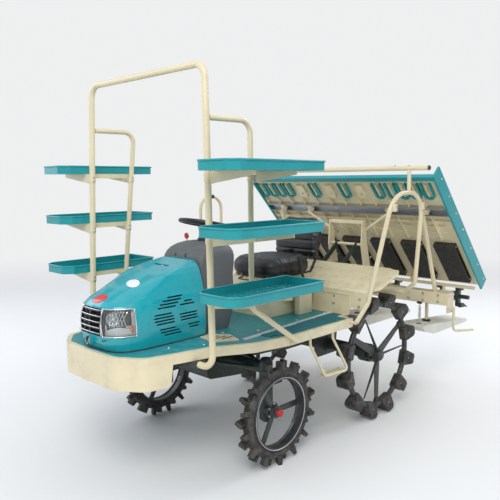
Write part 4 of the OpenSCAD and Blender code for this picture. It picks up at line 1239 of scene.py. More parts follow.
@dataclass
class HeadlampUnit:
    """Dark well, pale bands, bright facets, reflector bowl, indicator and rim of one headlamp."""

    side: Side
    skin: BonnetSkin = field(default_factory=BonnetSkin)
    bowl_r: float = 35.2
    bowl_depth: float = 26.0
    bowl_turn: float = 31.0
    bowl_z: float = 984.0
    low: float = 895.0
    high: float = 1044.0
    inner: float = 17.0
    end_y: float = -770.5

    def on_skin(self, z: float, turn: float, proud: float) -> Vector:
        """Give a point near the skin on this side of the nose."""
        return Vector(self.skin.at_turn(z, turn * self.side.value, proud))

    def turn_at(self, z: float, share: float) -> float:
        """Give the turn at a share of the lens's width, whose outer end is an upright cut.

        Args:
            z: Height in millimetres.
            share: 0 at the grille's side, 1 at the outer end.

        Returns:
            The turn in degrees.
        """
        near, far = 40.0, 80.0
        for _ in range(20):
            middle = (near + far) / 2
            if self.skin.at_turn(z, middle, 0.0)[1] < self.end_y:
                near = middle
            else:
                far = middle
        return self.inner + (near - self.inner) * share

    def look(self, z: float, turn: float) -> Vector:
        """Give the way the skin faces at a height and turn."""
        return (self.on_skin(z, turn, 10.0) - self.on_skin(z, turn, 0.0)).normalized()

    def sheet(self, name: str, finish: Finish, shares: Sequence[float],
              rows: Sequence[tuple[float, float, float]], inset: float, thick: float) -> None:
        """Bend a thin sheet that follows the skin from the inside.

        Args:
            name: The piece's name.
            finish: Its finish.
            shares: Places of its columns across the lens's width.
            rows: For each column the lowest and the highest z, and an extra inset.
            inset: How deep its face lies behind the skin.
            thick: Its thickness.
        """
        shape = Shape(name, "bonnet", finish)
        for depth in (inset, inset + thick):
            for share, (z0, z1, extra) in zip(shares, rows):
                for z in (z0, z1):
                    shape.points.append(self.on_skin(z, self.turn_at(z, share), -depth - extra))
        n = len(shares)
        for k in range(n - 1):
            a, b, c, d = 2 * k, 2 * k + 1, 2 * k + 3, 2 * k + 2
            shape.faces += [(a, b, c, d), (2 * n + d, 2 * n + c, 2 * n + b, 2 * n + a),
                            (a, d, 2 * n + d, 2 * n + a), (b, 2 * n + b, 2 * n + c, c)]
        shape.faces += [(0, 2 * n, 2 * n + 1, 1), (2 * n - 2, 2 * n - 1, 4 * n - 1, 4 * n - 2)]
        shape.build(smooth=40)

    def well(self) -> None:
        """Build the dark well behind the lens, and the pale bands that frame it."""
        tag = self.side.name.lower()
        count = 12
        across = [k / count for k in range(count + 1)]
        self.sheet(f"lamp_well_{tag}", LAMP_WELL, across, [(self.low, self.high, 22.0)] * len(across),
                   34.0, 1.5)
        foot = [(self.low, self.low + 12.0 + 34.0 * math.sin(math.pi * k / count) ** 0.6, 0.0)
                for k in range(count + 1)]
        self.sheet(f"lamp_foot_{tag}", LAMP_PALE, across, foot, 24.0, 2.0)
        brow = [(self.high - 9.0, self.high, 0.0)] * len(across)
        self.sheet(f"lamp_brow_{tag}", LAMP_PALE, across, brow, 24.0, 2.0)
        cheek = (0.90, 0.95, 1.0)
        self.sheet(f"lamp_cheek_{tag}", LAMP_PALE, cheek, [(self.low, self.high, 0.0)] * 3, 23.5, 2.0)

    def facets(self) -> None:
        """Cross the bright facets of the reflector in front of the well."""
        shape = Shape(f"lamp_facets_{self.side.name.lower()}", "bonnet", MIRROR)
        low, high = self.low + 44.0, self.high - 14.0
        first, last = self.inner + 9.0, self.turn_at(high, 0.76)
        count = 5
        for k in range(count):
            for lean in (-1.0, 1.0):
                middle = first + (last - first) * (k + 0.5) / count
                path = [tuple(self.on_skin(low + (high - low) * j / 6,
                                           middle + lean * 4.6 * (j / 6 - 0.5) * 2, -40.0))
                        for j in range(7)]
                shape.tube(path, 2.6, 4)
        shape.build(smooth=10)

    def bowl(self) -> None:
        """Build the reflector bowl with its bulb."""
        name = f"lamp_bowl_{self.side.name.lower()}"
        place = self.on_skin(self.bowl_z, self.bowl_turn, -33.0)
        ahead = self.look(self.bowl_z, self.bowl_turn)
        shape = Shape(name, "bonnet", MIRROR)
        radius, d = self.bowl_r, self.bowl_depth
        shape.turned([(radius, 0), (radius + 2.5, 0.5), (radius + 2.5, -1.5), (radius * 0.96, -2.5),
                      (radius * 0.8, -d * 0.42), (radius * 0.55, -d * 0.78), (radius * 0.22, -d),
                      (radius * 0.22, -d + 1.5), (radius * 0.5, -d * 0.72), (radius * 0.76, -d * 0.38)],
                     tuple(place), tuple(ahead), 40)
        shape.build(smooth=30)
        bulb = Shape(name + "_bulb", "bonnet", BULB)
        bulb.turned([(0, -d), (7, -d), (7, -d * 0.75), (8, -d * 0.6), (7.5, -d * 0.4), (5, -d * 0.24),
                     (0, -d * 0.18)],
                    tuple(place), tuple(ahead), 20)
        bulb.build(smooth=60)

    def indicator(self) -> None:
        """Build the round indicator in the lens's lower outer corner."""
        z = self.low + 32.0
        turn = self.turn_at(z, 0.84)
        place, ahead = self.on_skin(z, turn, -27.0), self.look(z, turn)
        ring = Shape(f"indicator_ring_{self.side.name.lower()}", "bonnet", BRIGHT_TRIM)
        ring.turned([(20, -6), (26, -6), (26, 0), (24, 2), (20, 1)], tuple(place), tuple(ahead), 32)
        ring.build(smooth=40)
        lens = Shape(f"indicator_{self.side.name.lower()}", "bonnet", AMBER)
        lens.turned([(0, -6), (20.5, -6), (20.5, -1), (16, 1.5), (9, 2.6), (0, 3.0)], tuple(place),
                    tuple(ahead), 32)
        lens.build(smooth=50)

    def rim(self) -> None:
        """Run the bright rim round the lens, just proud of it."""
        shape = Shape(f"lamp_rim_{self.side.name.lower()}", "bonnet", BRIGHT_TRIM)
        low, high = self.low - 1.5, self.high + 1.5
        count, rise = 16, 8
        trace = [(low, k / count) for k in range(count + 1)]
        trace += [(low + (high - low) * k / rise, 1.0) for k in range(1, rise)]
        trace += [(high, 1.0 - k / count) for k in range(count + 1)]
        trace += [(high - (high - low) * k / rise, 0.0) for k in range(1, rise)]
        path = [self.on_skin(z, self.turn_at(z, share), 0.3) for z, share in trace]
        shape.tube([tuple(p) for p in path], 3.4, 8, closed=True)
        shape.build(smooth=60)

    def build(self) -> None:
        """Build all of the lamp but its lens."""
        self.well()
        self.facets()
        self.bowl()
        self.indicator()
        self.rim()


@dataclass
class GrilleTrim:
    """Bright strips on the grille's bars and the mesh behind them."""

    skin: BonnetSkin = field(default_factory=BonnetSkin)
    bars: int = 5
    low: float = 893.0
    high: float = 1046.0
    half_w: float = 97.0

    def build(self) -> None:
        """Build the strips and the mesh."""
        strips = Shape("grille_strips", "bonnet", BRIGHT_TRIM)
        for i in range(self.bars):
            z = self.low + 6 + i * (self.high - self.low - 24) / (self.bars - 1) + 9.5
            path = [self.skin.front_at(-self.half_w + 2 * self.half_w * k / 16, z, -1.2)
                    for k in range(17)]
            strips.tube(path, 2.3, 8)
        for x in (-104.0, 104.0):
            path = [self.skin.front_at(x, self.low + 4 + (self.high - self.low - 8) * k / 8, -0.8)
                    for k in range(9)]
            strips.tube(path, 2.6, 8)
        strips.build(smooth=60)
        mesh = Shape("grille_mesh", "bonnet", BLACK_PLASTIC)
        for k in range(17):
            x = -88.0 + 11.0 * k
            path = [self.skin.front_at(x, self.low + 4 + (self.high - self.low - 8) * j / 6, -18.5)
                    for j in range(7)]
            mesh.tube(path, 1.1, 5)
        for k in range(13):
            z = self.low + 6 + k * 11.6
            path = [self.skin.front_at(-96.0 + 12.0 * j, z, -18.5) for j in range(17)]
            mesh.tube(path, 1.1, 5)
        mesh.build(smooth=60)


@dataclass
class DashHood:
    """The dash cowl with its domed top, column, hinge pins and the small controls on it."""

    half_w: float = 205.0
    column_length: float = 150.0
    rows: tuple[tuple[float, float, float, float, float], ...] = (
        (802.3, -262, -20, 1.0, 12.0), (880, -262, 12, 1.0, 12.0), (950, -262, 34, 1.0, 11.0),
        (1060, -262, 34, 1.0, 11.0), (1150, -262, 31, 1.0, 10.0), (1225, -262, 48, 1.0, 8.0),
        (1270, -262, 58, 0.99, 6.5), (1298, -250, 58, 0.965, 5.5), (1322, -226, 50, 0.92, 4.6),
        (1341, -190, 34, 0.83, 4.0), (1354, -150, 8, 0.68, 3.4), (1361, -118, -30, 0.45, 3.0))

    def shell(self) -> None:
        """Loft the cowl from level sections, and notch it for the hinge's eyes."""
        sides = 64
        shape = Shape("dash_shell", "chassis", COWL_GREY)
        for z, y0, y1, share, square in self.rows:
            for k in range(sides):
                across, along = squared(2 * math.pi * (k + 0.5) / sides, 2 / square)
                shape.points.append(Vector((self.half_w * share * across,
                                            (y0 + y1) / 2 + (y1 - y0) / 2 * along, z)))
        shape.faces = caps(len(self.rows), sides) + walls(len(self.rows), sides)
        made = shape.build(smooth=50)
        self.notch(made)
        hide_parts("dash_cowl")

    @staticmethod
    def notch(made: bpy.types.Object) -> None:
        """Cut the room of the two hinge eyes out of the shell.

        Args:
            made: The shell.
        """
        bpy.context.view_layer.update()
        for s in (-1, 1):
            work = bmesh.new()
            low, high = at(50 * s - 10.0, -280, 1248), at(50 * s + 10.0, -249, 1302)
            bmesh.ops.create_cube(work, size=1.0)
            for vertex in work.verts:
                vertex.co = Vector([low[i] + (high[i] - low[i]) * (vertex.co[i] + 0.5) for i in range(3)])
            mesh = bpy.data.meshes.new("notch")
            work.to_mesh(mesh)
            work.free()
            cutter = bpy.data.objects.new("notch", mesh)
            bpy.context.scene.collection.objects.link(cutter)
            cut = made.modifiers.new("notch", "BOOLEAN")
            cut.operation = "DIFFERENCE"
            cut.solver = "EXACT"
            cut.object = cutter
            apply_modifiers(made)
            bpy.data.objects.remove(cutter)
        smooth_faces(made, 40.0)

    def column(self) -> None:
        """Turn the column's boot and tube, and lay the hinge pins."""
        tilt = math.radians(STEERING_RAKE)
        up = (0.0, math.sin(tilt), math.cos(tilt))
        foot = Vector(STEERING_HUB) - Vector(up) * self.column_length
        shape = Shape("dash_column", "chassis", BLACK_PLASTIC)
        boot = [(0, -30), (60, -30), (58, 6), (50, 14), (48, 26), (42, 32), (40, 44), (35, 50), (33, 62),
                (24, 70)]
        tube = [(22, 72), (22, 124), (13.8, 124), (13.8, 143), (0, 143)]
        shape.turned(boot + tube, tuple(foot), up, 32)
        shape.build(smooth=40)
        pins = Shape("dash_hinge_pins", "chassis", ZINC)
        pins.tube([(38, -262, 1262), (62, -262, 1262)], 4.8, 16)
        pins.mirrored()
        pins.build(smooth=40)

    def controls(self) -> None:
        """Set the panel, the switches and the gauge on the cowl."""
        panel = Shape("dash_panel", "chassis", BLACK_PLASTIC)
        turn = Matrix.Rotation(math.radians(-38.0), 4, "X")
        frame = Matrix.Translation((0, 36, 1330)) @ turn
        outline = [(-128, -26), (-112, -34), (112, -34), (128, -26), (128, 20), (112, 30), (-112, 30),
                   (-128, 20)]
        panel.plate(outline, frame @ Matrix.Translation((0, 0, -6)), 12.0)
        panel.build(bevel=2.0)
        keys = Shape("dash_switches", "chassis", RUBBER_TRIM)
        for i in range(6):
            x = -100.0 + 26.0 * i + (34.0 if i > 2 else 0.0)
            keys.plate([(x, -22), (x + 17, -22), (x + 17, -6), (x, -6)],
                       frame @ Matrix.Translation((0, 0, 4)), 6.0)
        keys.build(bevel=1.5)
        gauge = Shape("dash_gauge", "chassis", BRIGHT_TRIM)
        middle = frame @ Vector((0, 8, 6))
        ahead = (turn @ Vector((0, 0, 1))).normalized()
        gauge.turned([(0, -2), (24, -2), (24, 3), (21, 4.5), (19, 2), (0, 1.4)], tuple(middle),
                     tuple(ahead), 32)
        gauge.build(smooth=40)

    @staticmethod
    def side_lever(side: Side) -> None:
        """Build a side lever's stalk, knob and rubber boot; the right one's knob is red."""
        tag, s = side.name.lower(), side.value
        stalk = Shape(f"dash_stalk_{tag}", "chassis", STEEL)
        stalk.tube([(150 * s, -60, 1318), (172 * s, -54, 1342), (190 * s, -46, 1372)], 5.0, 12)
        stalk.build(smooth=50)
        knob = Shape(f"dash_knob_{tag}", "chassis", RED_PLASTIC if side is Side.RIGHT else BLACK_PLASTIC)
        knob.turned([(0, -8), (8, -8), (14, 2), (16, 14), (14, 26), (8, 33), (0, 35)],
                    (190 * s, -46, 1368), (0.40 * s, 0.20, 0.88), 24)
        knob.build(smooth=60)
        boot = Shape(f"dash_boot_{tag}", "chassis", RUBBER_TRIM)
        boot.turned([(0, -12), (21, -12), (21, 3), (16, 6), (16, 9), (12, 13), (12, 16), (7, 22), (0, 22)],
                    (150 * s, -60, 1318), (0.45 * s, 0.1, 0.88), 24)
        boot.build(smooth=40)

    def build(self) -> None:
        """Build the cowl."""
        self.shell()
        self.column()
        self.controls()
        self.side_lever(Side.RIGHT)
        self.side_lever(Side.LEFT)


@dataclass
class WheelTrim:
    """Hub cap, plain disc and spoke covers of the steering wheel."""

    hub: Point = STEERING_HUB
    rake: float = STEERING_RAKE

    def build(self) -> None:
        """Build the trim, tilted like the wheel."""
        tilt = Matrix.Rotation(math.radians(-self.rake), 4, "X")
        up = tuple(tilt @ Vector((0, 0, 1)))
        cap = Shape("steering_cap", "steering_wheel", BLACK_PLASTIC)
        cap.turned([(0, 6), (36, 6), (37, 12), (30, 19), (16, 23), (0, 24)], self.hub, up, 36)
        cap.build(smooth=60)
        badge = Shape("steering_plain_disc", "steering_wheel", BRIGHT_TRIM)
        badge.turned([(0, 21), (15, 21), (15, 24), (13, 25.2), (0, 25.4)], self.hub, up, 28)
        badge.build(smooth=40)
        grips = Shape("steering_spoke_covers", "steering_wheel", RUBBER_TRIM)
        for angle in (90, 210, 330):
            turn = tilt @ Matrix.Rotation(math.radians(angle), 4, "Z")
            frame = Matrix.Translation(self.hub) @ turn
            grips.plate([(34, -15), (118, -13), (128, 0), (118, 13), (34, 15)],
                        frame @ Matrix.Translation((0, 0, -1.5)), 6.0)
        grips.build(bevel=2.0)


@dataclass
class SeatBase:
    """Pan, slides and their handle under the seat, and the backrest's brackets."""

    def build(self) -> None:
        """Build the base's pieces."""
        pan = Shape("seat_pan", "chassis", BLACK_PLASTIC)
        pan.box((-196, 420, 1062), (196, 790, 1078))
        pan.build(bevel=5.0)
        slides = Shape("seat_slides", "chassis", ZINC)
        for x in (-150, 150):
            slides.box((x - 26, 415, 1058), (x - 20, 775, 1072))
            slides.box((x + 20, 415, 1058), (x + 26, 775, 1072))
            for y in (450, 740):
                slides.bolt((x + 26, y, 1065), (1, 0, 0), 10.0)
                slides.bolt((x - 26, y, 1065), (-1, 0, 0), 10.0)
        slides.build(bevel=0.8)
        handle = Shape("seat_slide_handle", "chassis", BLACK_PAINT)
        handle.tube([(-110, 430, 1052), (-110, 372, 1046), (-96, 356, 1044),
                     (96, 356, 1044), (110, 372, 1046), (110, 430, 1052)], 5.0, 10)
        handle.build(smooth=60)
        hinge = Shape("seat_back_brackets", "chassis", BLACK_PAINT)
        bracket = [(790, 1060), (866, 1060), (926, 1140), (930, 1200),
                   (908, 1200), (900, 1148), (852, 1076), (790, 1074)]
        for x in (-168, 168):
            hinge.plate(bracket, upright(x - 3), 6.0)
            hinge.bolt((x + (3 if x > 0 else -3), 880, 1098), (1 if x > 0 else -1, 0, 0), 15.0)
        hinge.build(bevel=1.5)


@dataclass
class Console:
    """Cream console of the planting lever with its dark gate, and the lever from guide to grip."""

    left: float = 372.0
    right: float = 214.0
    y0: float = 446.0
    y1: float = 716.0
    top: float = 1050.0
    tray_depth: float = 9.0
    corner_power: float = 0.28

    def body(self) -> None:
        """Build the console's tapered box with a shallow tray."""
        shape = Shape("lever_console", "chassis", CREAM_PANEL)
        outside = ((0.22, 900.0), (0.62, 985.0), (1.0, 1024.0), (1.0, self.top))
        tray = ((0.93, self.top), (0.90, self.top - self.tray_depth))
        sides = 28
        for share, z in outside + tray:
            left = self.right + (self.left - self.right) * share
            mid_x, half_x = (left + self.right) / 2, (left - self.right) / 2
            if (share, z) in tray:
                mid_x, half_x = (self.left + self.right) / 2, (self.left - self.right) / 2 * share
            half_y = (self.y1 - self.y0) / 2 * (0.6 + 0.4 * share)
            for k in range(sides):
                across, along = squared(2 * math.pi * (k + 0.5) / sides, self.corner_power)
                shape.points.append(Vector((mid_x + half_x * across,
                                            (self.y0 + self.y1) / 2 + half_y * along, z)))
        rings = len(outside) + len(tray)
        shape.faces = caps(rings, sides) + walls(rings, sides)
        shape.build(smooth=40)

    def gate(self) -> None:
        """Lay the gate plate, the red mark and the lever's blade in the tray."""
        plate = Shape("lever_gate", "chassis", BLACK_PLASTIC)
        plate.box((246, 520, self.top - 10.0), (322, 690, self.top - 3.0))
        plate.build(bevel=2.0)
        mark = Shape("lever_red_block", "chassis", RED_PLASTIC)
        mark.box((330, 500, self.top - 10.0), (362, 640, self.top + 4.0))
        mark.build(bevel=3.0)
        blade = Shape("lever_blade", "chassis", BLACK_PAINT)
        blade.plate([(618, 1036), (640, 1036), (612, 1150), (602, 1214), (574, 1214), (576, 1160)],
                    upright(289), 6.0)
        blade.build(bevel=1.2)
        grip = Shape("lever_grip", "chassis", RUBBER_TRIM)
        grip.turned([(0, -62), (11, -60), (15, -48), (14, -20), (17, 6), (18, 24), (13, 38), (0, 42)],
                    (292, 586, 1194), (0, -0.18, 0.98), 24)
        grip.build(smooth=60)

    def guide(self) -> None:
        """Build the lever's stem and the cream guide box round its foot, in the solid's own form."""
        box = Shape("lever_guide", "chassis", CREAM_PANEL)
        box.box((262, 560, 802.3), (312, 700, 1012))
        made = box.build(bevel=4.0)
        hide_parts("lever")
        stem = Shape("lever_stem", "chassis", BLACK_PAINT)
        stem.tube([(292, 640, 1006), (292, 612, 1100), (292, 585, 1190)], 7.0, 16)
        stem.turned([(0, -16), (8, -14), (14, -8), (16, 0), (14, 8), (8, 14), (0, 16)], (292, 585, 1190),
                    (0, 0, 1), 24)
        stem.build(smooth=50)

    def build(self) -> None:
        """Build the console."""
        self.guide()
        self.body()
        self.gate()


@dataclass
class FloorTrim:
    """Pale divider strips and screws of the deck, and black boxes on its raised corner plates as painted
    shade of slots.
    """

    inner: tuple[Point, Point] = ((500.0, -190.0, 804.0), (430.0, 770.0, 804.0))
    strip_section: tuple[tuple[float, float], ...] = ((4.0, -2.0), (3.0, 6.0))

    def build(self) -> None:
        """Build the trim on both sides of the floor."""
        strips = Shape("floor_strips", "chassis", STRIP_WHITE)
        (x0, y0, z), (x1, y1, _) = self.inner
        for shift in (-9.0, 9.0):
            path = [(x0 + shift + (x1 - x0) * k / 10, y0 + (y1 - y0) * k / 10, z) for k in range(11)]
            for a, b in zip(path, path[1:]):
                corners = [Vector((end[0] + way * half, end[1], z + rise))
                           for half, rise in self.strip_section
                           for end, way in ((a, -1), (a, 1), (b, 1), (b, -1))]
                strips.add(corners, [(0, 3, 2, 1), (4, 5, 6, 7), (0, 1, 5, 4), (2, 3, 7, 6),
                                     (0, 4, 7, 3), (1, 2, 6, 5)])
        strips.mirrored()
        strips.build(smooth=30)
        # black boxes on the plate: painted shade of slot openings
        slots = Shape("corner_plate_slots", "chassis", BLACK_PLASTIC)
        for k in range(3):
            slots.box((322 + 34 * k, -318 + 24 * k, 805.5), (336 + 34 * k, -232 + 24 * k, 807.6))
        slots.mirrored()
        slots.build(bevel=0.8)
        screws = Shape("floor_screws", "chassis", ZINC)
        for x, y in ((270, -150), (270, 250), (270, 600), (400, 40), (400, 420), (400, 730), (300, -600),
                     (400, -420)):
            screws.turned([(0, -1), (9, -1), (9, 2), (6, 4.5), (0, 5)], (x, y, 802), (0, 0, 1), 16)
        screws.mirrored()
        screws.build(smooth=50)


@dataclass
class CoverTrim:
    """Bolts, rim bead, studs and riser borders of the rear cover."""

    slope: float = 16.6
    riser_foot: tuple[float, float] = (800.0, 762.0)
    riser_lean: float = 0.1346

    def on_slope(self, x: float, y: float, proud: float) -> Point:
        """Give a point over the cover's sloping top."""
        rise = math.tan(math.radians(self.slope))
        return (x, y, 984.0 + (y - 846.0) * rise + proud)

    def on_riser(self, x: float, z: float, proud: float) -> Point:
        """Give a point before the cover's leaning riser."""
        y, foot_z = self.riser_foot
        return (x, y + (z - foot_z) * self.riser_lean - proud, z)

    def build(self) -> None:
        """Build the cover's trim."""
        bead = Shape("cover_bead", "chassis", CREAM_PANEL)
        bead.tube([(-716, 1180, 1084), (-640, 1208, 1092), (640, 1208, 1092), (716, 1180, 1084)], 7.0, 10)
        bead.build(smooth=60)
        studs = Shape("cover_studs", "chassis", CREAM_PANEL)
        for j in range(3):
            for i in range(-6, 7):
                for dx in (-20.0, 0.0, 20.0):
                    place = self.on_slope(i * 98.0 + dx, 906.0 + j * 96.0, 6.0)
                    studs.turned([(0, -3), (6.5, -3), (5.5, 1.5), (0, 2.6)], place, (0, -0.28, 0.96), 10)
        studs.build(smooth=50)
        bolts = Shape("cover_bolts", "chassis", ZINC)
        for x in (-640, -420, -210, 0, 210, 420, 640):
            bolts.bolt(self.on_riser(x, 868, 0), (0, -1, 0.13), 13.0)
            bolts.bolt(self.on_riser(x, 920, 0), (0, -1, 0.13), 11.0)
        bolts.build(bevel=0.4)
        frame = Shape("riser_border", "chassis", CREAM_PANEL)
        for s in (-1, 1):
            path = [self.on_riser(x * s, z, 0)
                    for x, z in ((240, 846), (240, 940), (560, 940), (560, 846))]
            frame.tube(path, 5.0, 8)
        frame.build(smooth=60)


@dataclass
class TubeTrim:
    """Clamps, foot plates, bolts, tray lips and ridges, end plug and hoop grip of the tube work."""

    post_foot: Point = (614.0, -541.0, 731.0)
    post_top: Point = (558.0, -520.0, 2370.0)
    rack_top: Point = (570.0, -194.0, 2090.0)
    rack_foot: Point = (634.0, -256.0, 1028.0)
    trays: int = 3
    tray_z: float = 1135.0
    tray_step: float = 335.0
    tray_mid: tuple[float, float] = (802.0, -345.0)
    tray_w: float = 300.0
    tray_l: float = 720.0

    @staticmethod
    def axis_at(z: float, start: Point, end: Point) -> Point:
        """Give a straight tube's axis at a height.

        Args:
            z: The height.
            start: The axis's one end.
            end: Its other end.

        Returns:
            The point on the axis.
        """
        t = (z - start[2]) / (end[2] - start[2])
        return (start[0] + (end[0] - start[0]) * t, start[1] + (end[1] - start[1]) * t, z)

    def clamps(self) -> None:
        """Wrap a clamp with two bolts round each post under each tray arm."""
        shells = Shape("rack_clamps", "chassis", CREAM_PAINT)
        bolts = Shape("rack_bolts", "chassis", ZINC)
        for i in range(self.trays):
            z = self.tray_z + self.tray_step * i - 36.0
            post = self.axis_at(z, self.post_foot, self.post_top)
            rack = self.axis_at(z, self.rack_top, self.rack_foot)
            for point, radius, side in ((post, 19.0, 1), (rack, 16.0, -1)):
                inner, outer = radius + 0.2, radius + 3.4
                shells.turned([(inner, -20), (outer, -20), (outer, 20), (inner, 20)], point,
                              (-0.03, 0.01, 1), 28)
                for dz in (-12, 12):
                    bolts.bolt((point[0] + radius + 12, point[1] + side * 5, z + dz - 6), (0, side, 0),
                               11.0)
                    bolts.bolt((point[0] - radius - 3, point[1], z + dz), (-1, 0, 0), 10.0)
        for shape in (shells, bolts):
            shape.mirrored()
        shells.build(smooth=40)
        bolts.build(bevel=0.4)

    def feet(self) -> None:
        """Bolt the gantry's and racks' feet down."""
        plates = Shape("tube_foot_plates", "chassis", CREAM_PAINT)
        plates.box((659.5, 56, 752), (667, 112, 792))
        plates.mirrored()
        plates.build(bevel=1.0)
        bolts = Shape("tube_foot_bolts", "chassis", ZINC)
        for y in (68, 100):
            bolts.bolt((667, y, 786), (1, 0, 0), 13.0)
        bolts.mirrored()
        bolts.build(bevel=0.4)

    def lips(self) -> None:
        """Roll a lip round the top of each seedling tray."""
        mid_x, mid_y = self.tray_mid
        half_w, half_l = self.tray_w / 2, self.tray_l / 2
        lips = Shape("tray_lips", "chassis", TRAY_TEAL)
        ridges = Shape("tray_ridges", "chassis", TRAY_TEAL)
        corners = [(-half_w, -half_l + 60, 24), (-half_w + 50, -half_l, 24), (half_w - 50, -half_l, 24),
                   (half_w, -half_l + 60, 24), (half_w, half_l, 20), (-half_w, half_l, 20)]
        outline = self.rounded(corners)
        for i in range(self.trays):
            z = self.tray_z + self.tray_step * i
            lips.tube([(mid_x + x, mid_y + y, z + 50) for x, y in outline], 5.5, 8, closed=True)
            for k in range(14):
                y = mid_y - half_l + 92 + k * (self.tray_l - 160) / 13
                ridges.box((mid_x - half_w + 10, y - 1.6, z + 4), (mid_x + half_w - 10, y + 1.6, z + 7.5))
        for shape in (lips, ridges):
            shape.mirrored()
        lips.build(smooth=60)
        ridges.build()

    @staticmethod
    def rounded(corners: Sequence[tuple[float, float, float]]) -> list[tuple[float, float]]:
        """Round the corners of a closed outline.

        Args:
            corners: Corners as x, y and radius.

        Returns:
            Points round the outline.
        """
        out: list[tuple[float, float]] = []
        count = len(corners)
        for i, (x, y, r) in enumerate(corners):
            here = Vector((x, y))
            back = (Vector(corners[i - 1][:2]) - here).normalized()
            ahead = (Vector(corners[(i + 1) % count][:2]) - here).normalized()
            for k in range(7):
                t = k / 6
                point = here + back * r * (1 - t) ** 2 + ahead * r * t ** 2
                out.append((point.x, point.y))
        return out

    def handrail(self) -> None:
        """Bind the handrail's joints and plug the free end of its rear bar."""
        clamps = Shape("handrail_clamps", "chassis", CREAM_PAINT)
        for y, lean in ((966.0, 0.06), (1350.0, 0.0)):
            clamps.turned([(16.3, -26), (20, -26), (20, 26), (16.3, 26)], (812, y, 1560), (0, lean, 1), 28)
        clamps.build(smooth=40)
        plug = Shape("handrail_plug", "chassis", BLACK_PLASTIC)
        plug.turned([(0, -6), (17.6, -6), (17.6, 0), (14, 5), (0, 6)], (964.5, 1158, 1832), (1, 0, 0), 24)
        plug.build(smooth=50)
        bolts = Shape("handrail_bolts", "chassis", ZINC)
        for x in (-240, 700, 812):
            bolts.bolt((x, 1158, 1849), (0, 0, 1), 12.0)
        for z in (1545, 1575):
            bolts.bolt((832, 966, z), (1, 0, 0), 11.0)
            bolts.bolt((832, 1350, z), (1, 0, 0), 11.0)
        bolts.build(bevel=0.4)
        sleeve = Shape("hoop_grip", "chassis", RUBBER_TRIM)
        sleeve.tube([(-647, 560, 1626), (-647, 616, 1626)], 15.5, 24)
        sleeve.build(smooth=50)

    def build(self) -> None:
        """Build all trim of the tube work."""
        self.clamps()
        self.feet()
        self.lips()
        self.handrail()


@dataclass
class FrontWheelTrim:
    """Hub cap, wheel bolts, valve and bright rim edge of one front wheel."""

    side: Side
    axle: float = 600.0
    radius: float = 325.0
    bolt_ring: float = 45.5
    spoke_ring: float = 196.0
    valve_ring: float = 206.0

    def build(self) -> None:
        """Build the trim, which turns with the wheel."""
        s = float(self.side.value)
        tag = self.side.name.lower()
        body = f"front_wheel_{tag}"
        axis = (s, 0.0, 0.0)
        start = (self.axle * s, 0.0, self.radius)
        cap = Shape(f"front_hub_cap_{tag}", body, HUB_RED)
        cap.turned([(0, 12), (24, 12), (24, 24), (20, 32), (10, 36), (0, 37)], start, axis, 32)
        cap.build(smooth=50)
        ring = Shape(f"front_rim_edge_{tag}", body, ZINC)
        ring.turned([(223, 34), (226.5, 34), (226.5, 37.5), (224, 38.5), (221, 36)], start, axis, 96)
        ring.build(smooth=50)
        bolts = Shape(f"front_wheel_bolts_{tag}", body, ZINC)
        for k in range(6):
            angle = math.radians(60 * k + 30)
            place = (self.axle * s - 34.0 * s, self.bolt_ring * math.cos(angle),
                     self.radius + self.bolt_ring * math.sin(angle))
            bolts.bolt(place, axis, 14.0, washer=False)
        for k in range(3):
            for off in (-9.0, 9.0):
                angle = math.radians(120 * k + 90)
                y = self.spoke_ring * math.cos(angle) - off * math.sin(angle)
                z = self.radius + self.spoke_ring * math.sin(angle) + off * math.cos(angle)
                bolts.bolt((self.axle * s - 22.0 * s, y, z), axis, 11.0)
        bolts.build(bevel=0.4)
        valve = Shape(f"front_valve_{tag}", body, BRASS)
        angle = math.radians(200.0)
        foot = (self.axle * s, self.valve_ring * math.cos(angle),
                self.radius + self.valve_ring * math.sin(angle))
        tip = (foot[0] + 22 * s, foot[1] * 0.97, self.radius + (self.valve_ring - 6.0) * math.sin(angle))
        valve.tube([foot, tip], 3.2, 10)
        valve.build(smooth=50)


@dataclass
class RearWheelTrim:
    """Hub cap and bolts of one rear paddle wheel."""

    side: Side
    axle: float = 622.0
    station: float = 1095.0
    radius: float = 460.0
    lugs: int = 12
    bolt_ring: float = 52.0
    lug_ring: float = 402.0

    def build(self) -> None:
        """Build the trim, which turns with the wheel."""
        s = float(self.side.value)
        tag = self.side.name.lower()
        body = f"rear_wheel_{tag}"
        axis = (s, 0.0, 0.0)
        start = (self.axle * s, self.station, self.radius)
        cap = Shape(f"rear_hub_cap_{tag}", body, RIM_GREY)
        cap.turned([(0, 20), (36, 20), (36, 28), (30, 34), (12, 36), (0, 36)], start, axis, 32)
        cap.build(smooth=50)
        bolts = Shape(f"rear_wheel_bolts_{tag}", body, ZINC)
        for k in range(6):
            angle = math.radians(60 * k)
            place = (self.axle * s - 38.0 * s, self.station + self.bolt_ring * math.cos(angle),
                     self.radius + self.bolt_ring * math.sin(angle))
            bolts.bolt(place, axis, 13.0, washer=False)
        for k in range(self.lugs):
            angle = math.radians((k + 0.5) * 360 / self.lugs)
            c, d = math.cos(angle), math.sin(angle)
            for way in (1.0, -1.0):
                place = (self.axle * s + way * 31.0 * s, self.station + self.lug_ring * c,
                         self.radius + self.lug_ring * d)
                bolts.bolt(place, (way * s, 0.0, 0.0), 12.0)
        bolts.build(bevel=0.4)


